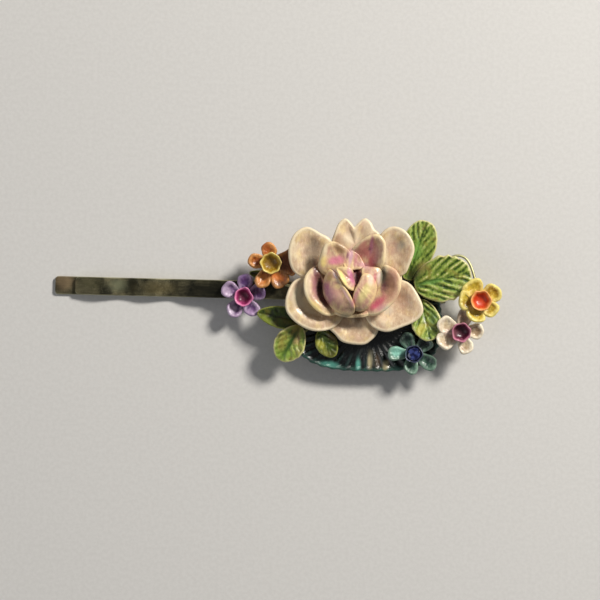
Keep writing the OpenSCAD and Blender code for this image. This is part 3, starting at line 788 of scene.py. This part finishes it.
def make_plate():
    """The oval plate: radial flutes that run out to a rolled, scalloped rim."""
    flutes, spokes, rings = 44, 528, 26
    squareness, flute_depth, sunk = 3, 0.13, 0.18
    bead, bead_height = 0.3, 0.28
    low, high = box_mm("base_plate")
    angles = np.arange(spokes) * TAU / spokes
    c, s = np.cos(angles), np.sin(angles)
    r = (np.abs(c) ** squareness + np.abs(s) ** squareness) ** (-1 / squareness)
    flute = np.cos(flutes * angles)
    scallop = 1 - 0.008 * (1 - flute)
    rim_plan = np.stack([PLATE_HALF[0] * r * c, PLATE_HALF[1] * r * s], axis=1) * scallop[:, None]
    reach = np.linalg.norm(rim_plan, axis=1)
    points, edge, hollow = [], [], []

    def add_ring(rho, z, from_rim, wave):
        points.append(np.stack([rim_plan[:, 0] * rho, rim_plan[:, 1] * rho, z], axis=1))
        edge.append(from_rim)
        hollow.append(wave)

    for ring in range(rings):
        rho = 1 - (1 - (ring + 1) / rings) ** 1.5
        into = (1 - rho) * reach
        arch = np.sqrt(np.clip(1 - np.clip(np.abs(into - bead) / bead, 0, 1) ** 2, 0, 1))
        depth = flute_depth * smoothstep(0.35, 0.8, rho) * smoothstep(bead, 0.8, into)
        z = high[2] - sunk + depth * flute + 0.16 * arch * (into < 2 * bead)
        z = np.where(into < bead, high[2] - bead + bead_height * arch, z)
        add_ring(rho, z, into, flute * smoothstep(0.5, 0.9, rho))
    for rho, z in ((0.985, low[2] + 0.04), (0.96, low[2]), (0.5, low[2] + 0.03)):
        add_ring(rho, np.full(spokes, z), np.full(spokes, UNPAINTED), np.zeros(spokes))
    total = len(points)
    points = np.concatenate(points + [[[0, 0, high[2] - sunk]], [[0, 0, low[2] + 0.03]]])
    points[:, 2] += 0.02 * rough_field(points, 0.8, 9)
    points[:, :2] += PLATE[:2]
    faces = [tuple(reversed(f)) for f in ring_faces(total, spokes)]
    faces += fan(len(points) - 2, 0, spokes)
    faces += fan(len(points) - 1, (total - 1) * spokes, spokes, turned_over=True)
    plate = Shape()
    plate.add(points, faces, edge=np.concatenate(edge + [[2.0, UNPAINTED]]),
              hollow=np.concatenate(hollow + [[0.0, 0.0]]))
    plate.make("base_plate_fluted", TEAL, "base_plate", PLATE_PAINT)


# ---------- rose ----------
# Petals are smooth rims through corners (x, y, height), from the rose's axis and the plate's top face.

def petal(shape, seed, centre, corners, **how):
    start = np.array([ROSE[0], ROSE[1], PLATE_TOP])

    def streaks(x, y):
        """Shallow strokes of enamel that run outward from the rose's axis."""
        out = np.hypot(x - ROSE[0], y - ROSE[1])
        along = np.stack([8 * (x - ROSE[0]) / out, 8 * (y - ROSE[1]) / out, 0.3 * out], axis=-1)
        return 0.06 * rough_field(along.reshape(-1, 3), 1.0, seed).reshape(x.shape)

    sheet_shell(shape, closed_curve(corners) + start, np.array(centre) + start, streaks, seed=seed, **how)


def make_rose():
    back = Shape()
    petal(back, 11, (0.3, 5.8, 1.5), [
        (-3.7, 6.4, 2.1), (-3.2, 8.1, 2.6), (-2.6, 9.6, 2.4), (-1.6, 10.4, 2.4), (-0.7, 9.8, 2.5),
        (0, 9, 2.5), (0.6, 9.6, 2.5), (1.7, 10.5, 2.4), (2.7, 9.9, 2.5), (3.3, 8.8, 2.6), (4.4, 7.5, 2.5),
        (3.8, 4.5, 1.6), (1, 1.3, 0.9), (-1.4, 1.4, 0.9), (-3.4, 4.2, 1.6)
    ], power=1.7, roll=0.35, rim=0.55)
    petal(back, 12, (0.2, -6.2, 1.2), [
        (-4.2, -7.2, 2.3), (-2.7, -8.9, 2.4), (-1.4, -10.1, 2.2), (1.4, -10.5, 2.2), (2.9, -10, 2.3),
        (4.4, -8, 2.4), (3.7, -5, 1.4), (1, -1.2, 0.9), (-1.2, -1.2, 0.9), (-3.5, -4.6, 1.4)
    ], power=1.7, roll=0.4)
    petal(back, 13, (-5.2, 0, 1), [
        (-1, 1.4, 0.9), (-4.5, 4.2, 1.5), (-7.8, 3, 1.7), (-8.8, 0, 1.7), (-7.8, -3.2, 1.7), (-4.5, -4, 1.5),
        (-1, -1.4, 0.9)
    ], roll=0.2)
    petal(back, 14, (4.8, -0.1, 1), [
        (1, 1.4, 0.9), (4.2, 3.6, 1.5), (7.2, 2.6, 1.7), (8.2, -0.2, 1.7), (7.2, -3, 1.7), (4.2, -3.8, 1.5),
        (1, -1.4, 0.9)
    ], roll=0.2)
    back.make("rose_back_layer", CREAM, "rose_back_petals", ROSE_PAINT)

    outer = Shape()
    petal(outer, 21, (-6.6, 4, 2.3), [
        (-9.6, 1.1, 3.1), (-10.8, 4.2, 3.9), (-10.1, 7.3, 4.1), (-8, 8.8, 3.9), (-5.6, 7.8, 3.9),
        (-3.7, 6.4, 3.6), (-3, 2.4, 2.2), (-1.6, 0.6, 1.6), (-5.5, 0, 2.1)
    ], power=1.9, roll=0.45, rim=0.56)
    petal(outer, 22, (6.3, 4.6, 2.3), [
        (4.3, 7.8, 3.5), (6.4, 9.2, 3.9), (8.7, 8.3, 4.1), (10, 5.7, 4.1), (9.2, 2.8, 3.8), (8.2, 1.2, 3.2),
        (5, 0.2, 2.1), (1.7, 0.6, 1.6), (2.4, 3.6, 2.2)
    ], power=1.9, roll=0.45, rim=0.56)
    petal(outer, 23, (6.6, -3.2, 2.3), [
        (8.2, 0.4, 3.4), (10.1, -0.9, 3.9), (11.7, -4.1, 4.1), (10.9, -6, 4), (8, -7.5, 4), (5.5, -8.2, 3.9),
        (3, -7.1, 3.1), (1.6, -4, 1.8), (1.4, -0.8, 1.6), (4.6, 0.6, 2.2)
    ], power=1.8, roll=0.55, rim=0.56)
    petal(outer, 24, (-6.2, -3.8, 2.4), [
        (-9.4, 0.1, 3.3), (-11, -2.7, 4), (-10.8, -5.4, 4.1), (-8.6, -7.5, 4), (-5.8, -8.4, 3.9),
        (-2.8, -7.6, 3.1), (-1, -4.8, 1.8), (-1.4, -0.8, 1.6), (-5.2, 0.5, 2.3)
    ], power=1.7, roll=0.6, rim=0.56)
    outer.make("rose_outer_layer", CREAM, "rose_outer_petals", ROSE_PAINT)

    middle_layer = Shape()
    petal(middle_layer, 31, (-4.7, -1.5, 2.6), [
        (-6.2, 2.5, 4.9), (-7.8, 0.9, 5.7), (-8.1, -1.3, 6), (-7.2, -3.6, 5.9), (-5.5, -5.2, 5.7),
        (-3.7, -5.8, 5), (-1, -4.6, 3), (-0.8, -1, 2.4), (-2.6, 1, 2.6), (-4.6, 2.3, 3.4)
    ], power=1.1, roll=0.9, roll_start=0.66, rim=0.6)
    petal(middle_layer, 32, (4.6, -0.9, 3.6), [
        (4.9, 2.8, 5.2), (6, 2.6, 5.8), (7.1, 1.9, 6.1), (7.8, 0.5, 6.2), (7.8, -1.2, 6.2), (6.9, -3.1, 5.9),
        (5.4, -4.6, 5.7), (3.8, -5.5, 5.2), (2.5, -5.4, 4.4), (1, -4, 3), (0.8, -0.8, 2.4), (2.6, 1.8, 3)
    ], power=1.5, roll=0.5, roll_start=0.75, rim=0.56)
    petal(middle_layer, 33, (2.5, 4.2, 4.7), [
        (-0.5, 5, 4.8), (0.6, 6.2, 5.8), (2.3, 7.5, 6.4), (4, 7.8, 6.6), (5.1, 6.6, 6.6), (5.2, 4.8, 6.4),
        (5, 2.8, 5.7), (3.9, 1.4, 4.4), (1.5, 0.6, 3.4), (-0.2, 2.4, 3.6)
    ], power=1.7, roll=0.25, roll_start=0.84, rim=0.5)
    petal(middle_layer, 34, (-2.8, 3.2, 5.1), [
        (-5.8, 2, 4.7), (-5.6, 4, 5.7), (-4.9, 5.8, 6.1), (-3.6, 6.5, 6.1), (-2, 6, 5.8), (-0.8, 5.1, 5.4),
        (0.2, 3.8, 4.6), (0.4, 1.8, 3.5), (-1.6, 0.4, 3.4), (-4.2, 0.8, 3.8)
    ], power=2, roll=0.25, roll_start=0.8, rim=0.52)
    petal(middle_layer, 35, (0.3, -4.4, 3.2), [
        (-2.6, -3.4, 3), (-3, -5.2, 4.2), (-1, -5.9, 4.6), (2, -5.8, 4.6), (3.8, -4.8, 4.2), (2.8, -3, 3),
        (0, -2.2, 2.4)
    ], roll=0.4)
    middle_layer.make("rose_middle_layer", BLUSH, "rose_middle_petals", ROSE_PAINT)

    inner = Shape()
    petal(inner, 41, (-2.4, -1.9, 6.6), [
        (-3.9, 1.9, 5.6), (-4.7, 0.6, 5.1), (-5, -0.9, 4.9), (-4.6, -2.8, 4.9), (-3.4, -4.4, 4.7),
        (-1.7, -5.4, 4.5), (0.2, -5.3, 5), (0.3, -3.9, 6.4), (-0.5, -2.2, 7), (-1.5, -0.7, 7.1),
        (-2.6, 0.9, 6.6)
    ], power=1.9, roll=0.15, roll_start=0.85, rim=0.45)
    petal(inner, 42, (1.9, -1.8, 6.8), [
        (1.5, 1.2, 6.7), (2.6, 1.3, 6.5), (3.5, 0.4, 6), (3.9, -1, 5.6), (3.5, -2.8, 5.2), (2.7, -4.2, 4.9),
        (1.4, -4.9, 4.8), (0.3, -4.6, 5.2), (0, -3.2, 6.3), (0.15, -1.8, 6.9), (0.8, -0.3, 7.1)
    ], power=1.9, roll=0.15, roll_start=0.82, rim=0.42)
    petal(inner, 43, (3.1, 0.9, 5.9), [
        (1.5, 2.4, 5.9), (3, 2.5, 5.8), (4.4, 2.2, 5.5), (4.8, 0.9, 5.1), (4.4, -0.9, 4.8), (3.2, -1.2, 5.2),
        (2.2, -0.2, 5.8), (1.4, 1, 6.1)
    ], roll=0.1, rim=0.42)
    petal(inner, 44, (-0.1, 3.4, 4.9), [
        (-1.5, 4.4, 4.7), (-0.4, 5.1, 5), (0.7, 4.6, 4.9), (1.5, 3.4, 4.9), (1.8, 2.3, 5.1), (0.3, 1.9, 5.4),
        (-1.2, 2, 5.3), (-1.8, 3.2, 4.9)
    ], roll=0, rim=0.36)
    inner.make("rose_inner_layer", HEART, "rose_inner_petals", ROSE_PAINT)

    bud = Shape()
    petal(bud, 51, (-0.9, 0.5, 6.7), [
        (-2.9, 2.1, 6.3), (-1.6, 2.4, 6.6), (-0.4, 2.1, 6.4), (0, 1.3, 5.9), (0.2, 0.2, 5.4), (0.6, -1, 5.6),
        (0.3, -1.6, 6.3), (-0.7, -1.3, 7.1), (-1.6, -0.4, 7.5), (-2.3, 0.8, 7.4)
    ], power=1.6, rim=0.42)
    core = [(0, 0.9), (2.2, 0.9), (3.2, 2.2), (3.5, 3.6), (3, 4.6), (2, 5), (0, 5.1)]
    turned(bud, [(r, h + PLATE_TOP) for r, h in core], lift=lambda p: p + [ROSE[0] - 0.4, ROSE[1] - 1.2, 0],
           lump=0.1, edge=2, stain=1)
    bud.make("rose_bud_petals", HEART, "rose_bud", ROSE_PAINT)
    post = frame["nodes"]["rose_post"]
    post.data.materials.clear()
    post.data.materials.append(GILT)


# ---------- leaves ----------

def make_leaf(node, stalk, tip, half_width, material, late=0.9, full=0.7, arch=0.3, keel=0.25, pitch=1.15,
              rib=0.13, vein=0.12, lobes=0.0, slant=0.9, seed=1):
    """A leaf with a midrib groove, slanting ribs, and a rim that the ribs scallop.

    Its stalk and tip are given as shares of the node's box and a height above it.
    """
    stalk, tip = within(node, *stalk), within(node, *tip)
    run = (tip - stalk)[:2]
    length = np.linalg.norm(run)
    ahead = run / length
    left = np.array([-ahead[1], ahead[0]])

    def half(s):
        return half_width * (0.14 + 0.86 * np.sin(math.pi * np.clip(s, 0, 1) ** late) ** full)

    def coordinates(x, y):
        dx, dy = x - stalk[0], y - stalk[1]
        return (dx * ahead[0] + dy * ahead[1]) / length, dx * left[0] + dy * left[1]

    def ribs(s, w, drift=0.0):
        return 0.5 - 0.5 * np.cos(TAU * (s * length - slant * np.abs(w) + 0.5 * np.sign(w) + drift) / pitch)

    def leaf_outline(count=168):
        t = np.arange(count) * TAU / count
        s = 0.5 - 0.4995 * np.cos(t)
        side = np.where(t < math.pi, 1.0, -1.0)
        width = half(s) * np.clip(np.abs(np.sin(t)) * 4, 0, 1) ** 0.5
        away_from_ends = smoothstep(0.0, 0.3, s) * smoothstep(1.0, 0.8, s)
        width = width * (1 + lobes * (ribs(s, side * width) - 0.6) * away_from_ends)
        return (stalk[:2] + np.outer(s * length, ahead) + (side * width)[:, None] * left)[::-1]

    def height(x, y):
        s, w = coordinates(x, y)
        share = np.abs(w) / half_width
        return (stalk[2] + 0.22 + (tip[2] - stalk[2]) * s + arch * np.sin(math.pi * np.clip(s, 0, 1))
                + keel * share ** 1.3)

    def relief(x, y):
        s, w = coordinates(x, y)
        flat = np.stack([x, y, np.zeros_like(x)], axis=-1).reshape(-1, 3)
        drift = 0.6 * rough_field(flat, 1.9, seed).reshape(x.shape)
        depth = 0.75 + 0.9 * rough_field(flat, 1.3, seed + 5).reshape(x.shape)
        groove = np.exp(-(w / 0.2) ** 2)
        wave = rib * depth * (ribs(s, w, drift) ** 0.8 - 0.55) * smoothstep(0.05, 0.5, np.abs(w))
        return (wave - vein * groove) * smoothstep(0.0, 0.12, s)

    shape = Shape()
    sheet_shell(shape, leaf_outline(), stalk + 0.52 * (tip - stalk), relief, height, thickness=0.42, rim=0.5,
                rings=34, lump=0.07, seed=seed)
    shape.make(node + "_veined", material, node, LEAF_PAINT)


def make_leaves():
    make_leaf("leaf_top_right", (0.23, 0.01, 0), (0.71, 0.98, 1.1), 2.95, LEAF, 1.25, 0.5,
              slant=2.4, pitch=2.3, rib=0.2, lobes=0.02, seed=61)
    make_leaf("leaf_right", (0.02, 0.34, 0), (0.98, 0.64, 0.8), 3.85, LEAF, 1.1, 0.52,
              slant=1.7, pitch=2.0, rib=0.3, lobes=0.07, seed=62)
    make_leaf("leaf_low_right", (0.31, 0.98, 0), (0.67, 0.02, 1.4), 2.5, LEAF, 1.1, 0.6,
              slant=1.3, pitch=1.5, rib=0.2, lobes=0.03, seed=63)
    make_leaf("leaf_left", (0.99, 0.35, 0), (0.01, 0.67, 0.25), 1.9, DARK_LEAF,
              slant=1.3, pitch=1.5, rib=0.08, lobes=0.02, seed=64)
    make_leaf("leaf_bottom_left", (0.83, 0.97, 0.26), (0.21, 0.04, 0), 2.6, LEAF, 1.15, 0.6,
              slant=1.2, pitch=1.5, rib=0.17, lobes=0.03, seed=65)
    make_leaf("leaf_bottom", (0.17, 0.97, 0), (0.83, 0.03, 0.35), 1.85, DARK_LEAF, 1.0, 0.7,
              slant=1.2, pitch=1.3, rib=0.14, lobes=0.03, vein=0.02, keel=0.05, seed=66)
    make_leaf("leaf_small", (0.98, 0.31, 0), (0.02, 0.7, 0), 0.75, DARK_LEAF,
              pitch=0.8, rib=0.05, arch=0, keel=0, seed=67)


# ---------- small flowers ----------

def tilted(place, lean, toward):
    """Moves points from a flower's own frame to its place, leaned by lean degrees toward a direction."""
    a, b = math.radians(lean), math.radians(toward)
    turn = np.array([[math.cos(b), -math.sin(b), 0], [math.sin(b), math.cos(b), 0], [0, 0, 1]])
    tip = np.array([[math.cos(a), 0, math.sin(a)], [0, 1, 0], [-math.sin(a), 0, math.cos(a)]])
    whole = turn @ tip @ turn.T

    def move(points):
        return points @ whole.T + place
    return move


def make_flower(colour, petals, paint, cup_paint, lean=(0, 0), cup_size=1.0, teeth=5, strokes=(), seed=1):
    """A flower of petals with a cup in its middle. Petals are as five() gives them."""
    cup_height, petal_half, petal_height = 1.7, 1.5, 0.15
    foot = box_mm(colour + "_petals")[0][2]
    cup_middle = middle(colour + "_cup")
    drift = tilted(np.zeros(3), *lean)(np.array([0, 0, cup_height]))
    lift = tilted(np.array([cup_middle[0] - drift[0], cup_middle[1] - drift[1], foot + 0.25]), *lean)
    shape = Shape()
    for i, (direction, reach, half_width, rise, point) in enumerate(petals):
        d = math.radians(direction)
        outward, across = np.array([math.cos(d), math.sin(d)]), np.array([-math.sin(d), math.cos(d)])
        mid_out = reach - petal_half
        heart = np.append(mid_out * outward, 0)
        reaches = (petal_half, mid_out + 0.3, half_width, half_width)
        shares = local_frame(heart, direction, *reaches)
        outline = oval(heart, direction, *reaches, power=2.5, spokes=80, wobble=0.035, seed=seed * 3 + i)
        e, f = shares(outline[:, 0], outline[:, 1])
        narrow = 0.5 * np.clip(-e, 0, 1) ** 0.8 - 0.12 * np.clip(e, 0, 1)
        outline = outline - np.outer(f * half_width * narrow, across)
        outline += np.outer(point * np.clip(e, 0, 1) * np.exp(-(f / 0.45) ** 2), outward)

        def height(x, y, shares=shares, rise=rise):
            e, f = shares(x, y)
            along = np.where(e > 0, petal_height + (rise - petal_height) * np.abs(e) ** 1.7,
                             petal_height * (1 - np.abs(e)))
            return along + 0.5 * f * f

        def stain(x, y, shares=shares):
            return 1 - smoothstep(-0.9, 0.25, shares(x, y)[0])

        sheet_shell(shape, outline, heart, None, height, thickness=0.4, rim=0.46, rings=14, lump=0.2,
                    seed=seed * 9 + i, roll=0.18, roll_start=0.75, stain=stain, lift=lift)
    hub = [(0, -0.2), (0.9, -0.2), (1.05, 0), (0.9, 0.22), (0, 0.22)]
    turned(shape, hub, lift=lift, spokes=40, stain=1.0)
    shape.make(colour + "_flower_petals", paint, colour + "_petals", strokes)

    # Rows of radius, height, edge number and stain run up the cup's outside and down into its hollow.
    cup = Shape()
    base, tall, wide = 0.3, 1.4, 1.55 * cup_size
    rows = [(0, 0, 2, 0), (0.72, 0, 2, 0), (0.86, 0.3, 1.5, 0), (0.93, 0.65, 0.9, 0), (0.99, 0.88, 0.4, 0),
            (1.0, 0.97, 0.1, 0), (0.95, 1.03, 0, 0), (0.88, 0.99, 0.1, 0), (0.8, 0.82, 0.4, 0.25),
            (0.7, 0.55, 1.0, 0.55), (0.55, 0.3, 2, 0.8), (0.3, 0.18, 2, 0.95), (0, 0.15, 2, 1)]
    profile = [(row[0] * wide, base + row[1] * tall) for row in rows]
    turned(cup, profile, waves=teeth, wave_depth=0.035, tooth=0.09, lift=lift,
           edge=[row[2] for row in rows], stain=[row[3] for row in rows], lump=0.2, seed=seed)
    cup.make(colour + "_flower_cup", cup_paint, colour + "_cup", strokes)


def five(first, reach=3.65, half_width=1.25, rise=0.85, point=0.12, tweaks=()):
    """Five petals, each with its direction, reach, half width, and the rise and point of its tip.

    A tweak names a petal and says what is added to each of its numbers in turn.
    """
    petals = [[first + 72 * k, reach, half_width, rise, point] for k in range(5)]
    for which, *change in tweaks:
        for j, amount in enumerate(change):
            petals[which][j] += amount
    return petals


def make_flowers():
    purple = five(14, tweaks=[(0, 4, 0, 0.1), (1, 0, 0, -0.05, 0.1), (2, -4, 0.15, 0.1, 0.1), (3, 5, 0.1),
                              (4, 4, -0.1)])
    make_flower("purple", purple, PURPLE, MAGENTA, strokes=PURPLE_PAINT, seed=1)
    orange = five(22, 3.7, 1.35, tweaks=[(0, -17, 0.8, 0.85, -0.2), (1, 5, -0.4, -0.05, 0, 0.1),
                                         (2, 6, 0, -0.1), (3, 8, 0.6, -0.1), (4, -9, 0.7, 0.2, -0.5)])
    make_flower("orange", orange, ORANGE, OCHRE, cup_size=1.14, teeth=8, strokes=ORANGE_PAINT, seed=2)
    yellow = five(36, 3.6, 1.6, tweaks=[(0, -4, 0.1), (1, 12, 0.1, 0.25), (3, 3), (4, 0, -0.2, -0.2)])
    make_flower("yellow", yellow, YELLOW, AMBER, (8, 10), 1.12, teeth=6, seed=3)
    white = five(3, 3.75, tweaks=[(2, 10, 0.2, 0.3), (3, -8, 0.4, 0.35)])
    make_flower("white", white, WHITE, MAROON, (8, -40), 1.05, strokes=WHITE_PAINT, seed=4)
    teal = five(-29, 3.7, 1.2, tweaks=[(0, 0, 0.4, 0.1), (3, -7, 0.5, -0.05), (4, 0, -0.4)])
    make_flower("teal", teal, SEAFOAM, MIDNIGHT, cup_size=0.95, strokes=TEAL_PAINT, seed=5)


def make_stone():
    """A round stone cut with a flat table, two rows of crown facets and a pointed back."""
    low, high = box_mm("teal_stone")
    centre = (low + high) / 2
    radius = (high[0] - low[0]) / 2
    girdle = low[2] + 0.67 * (high[2] - low[2])
    sides = 10
    rows = [(radius * 0.64, high[2], 0.5), (radius * 0.85, girdle + 0.6 * (high[2] - girdle), 0.0),
            (radius, girdle + 0.05, 0.5), (radius, girdle - 0.05, 0.5), (radius * 0.5, low[2], 0.0)]
    points = []
    for r, z, shift in rows:
        angles = [TAU * (k + shift) / sides for k in range(sides)]
        points += [(centre[0] + r * math.cos(a), centre[1] + r * math.sin(a), z) for a in angles]
    faces = [tuple(range(sides)), tuple(reversed(range(4 * sides, 5 * sides)))]
    for row in range(4):
        a, b = row * sides, (row + 1) * sides
        straight = rows[row][2] == rows[row + 1][2]
        for k in range(sides):
            n = (k + 1) % sides
            if straight:
                faces.append((a + k, b + k, b + n, a + n))
            elif rows[row][2] > rows[row + 1][2]:
                faces += [(a + k, b + n, a + n), (a + k, b + k, b + n)]
            else:
                faces += [(a + k, b + k, a + n), (a + n, b + k, b + n)]
    stone = Shape()
    stone.add(points, faces, flat=True, edge=2.0)
    stone.make("teal_stone_cut", STONE, "teal_stone")


def make_stems():
    """Each wire runs as its solid does, through shares of the solid's box at heights above it."""
    wire = 0.45
    low = wire / 2
    routes = {
        "sprig_stem_right": [(0.03, 0.05, low), (0.49, 0.57, low), (0.98, 0.94, low)],
        "sprig_stem_left": [(0.95, 0.96, low), (0.58, 0.52, low), (0.04, 0.05, low)],
        "white_stem": [(0.01, 0.94, low), (0.31, 0.43, low), (0.66, 0.11, 0.33), (0.99, 0.08, 1.0)],
        "yellow_stem": [(0.02, 0.10, low), (0.19, 0.40, 0.27), (0.40, 0.84, 0.46), (0.62, 0.97, 0.66),
                        (0.81, 0.76, 0.96), (0.98, 0.01, 1.88)],
        "orange_stem": [(0.99, 0.05, low), (0.53, 0.19, low), (0.25, 0.57, 0.44), (0.05, 0.97, 1.22)],
    }
    for node, route in routes.items():
        shape = Shape()
        tube(shape, [within(node, *point) for point in route], wire)
        shape.make(node + "_wire", WIRE, node)


# ---------- the scene round the clip ----------

def make_studio():
    floor_mesh = bpy.data.meshes.new("floor")
    half, below = 0.8, -1e-5
    corners = [(-half, -half, below), (half, -half, below), (half, half, below), (-half, half, below)]
    floor_mesh.from_pydata(corners, [], [(0, 1, 2, 3)])
    floor = bpy.data.objects.new("floor", floor_mesh)
    bpy.context.scene.collection.objects.link(floor)
    n = Nodes("floor_paper")
    fine = n.noise(0.6, 3)
    colour = n.mix(n.ramp(fine, 0.3, 0.7), (0.62, 0.61, 0.59, 1), (0.66, 0.65, 0.63, 1))
    roughness = n.ramp(fine, 0.3, 0.7, 0.75, 0.85)
    floor_mesh.materials.append(n.finish(colour, roughness, n.bump(fine, 0.02, 0.3)))

    def area(name, position, power, size, colour=(1, 1, 1)):
        light = bpy.data.lights.new(name, "AREA")
        light.energy, light.size, light.color = power, size, colour
        lamp = bpy.data.objects.new(name, light)
        bpy.context.scene.collection.objects.link(lamp)
        lamp.location = position
        aim = Vector((0.012, 0, 0.004)) - Vector(position)
        lamp.rotation_euler = aim.to_track_quat("-Z", "Y").to_euler()

    area("key", (0.34, 0.30, 0.36), 4.0, 0.11, (1.0, 0.96, 0.9))
    area("fill", (-0.5, -0.2, 0.3), 0.75, 0.4, (0.96, 0.97, 1.0))
    world = bpy.data.worlds.new("studio")
    world.use_nodes = True
    world.node_tree.nodes["Background"].inputs[0].default_value = (0.95, 0.97, 1.0, 1)
    world.node_tree.nodes["Background"].inputs[1].default_value = 0.16
    bpy.context.scene.world = world
    bpy.context.scene.view_settings.view_transform = "Standard"


def make_camera():
    """Straight above the clip, turned so that the grip slopes down a little to the right."""
    camera = bpy.data.objects.new("camera", bpy.data.cameras.new("camera"))
    bpy.context.scene.collection.objects.link(camera)
    distance, view_width, sensor, roll = 1.0, 0.1, 36, math.radians(1.4)
    camera.location = (0.0083, -0.0015, distance)
    camera.rotation_euler = (0, 0, roll)
    camera.data.sensor_width = sensor
    camera.data.lens = sensor * distance / view_width
    camera.data.clip_start = 0.01
    bpy.context.scene.camera = camera


make_camera()
make_grip()
make_pad()
make_plate()
make_rose()
make_leaves()
make_flowers()
make_stone()
make_stems()
make_studio()
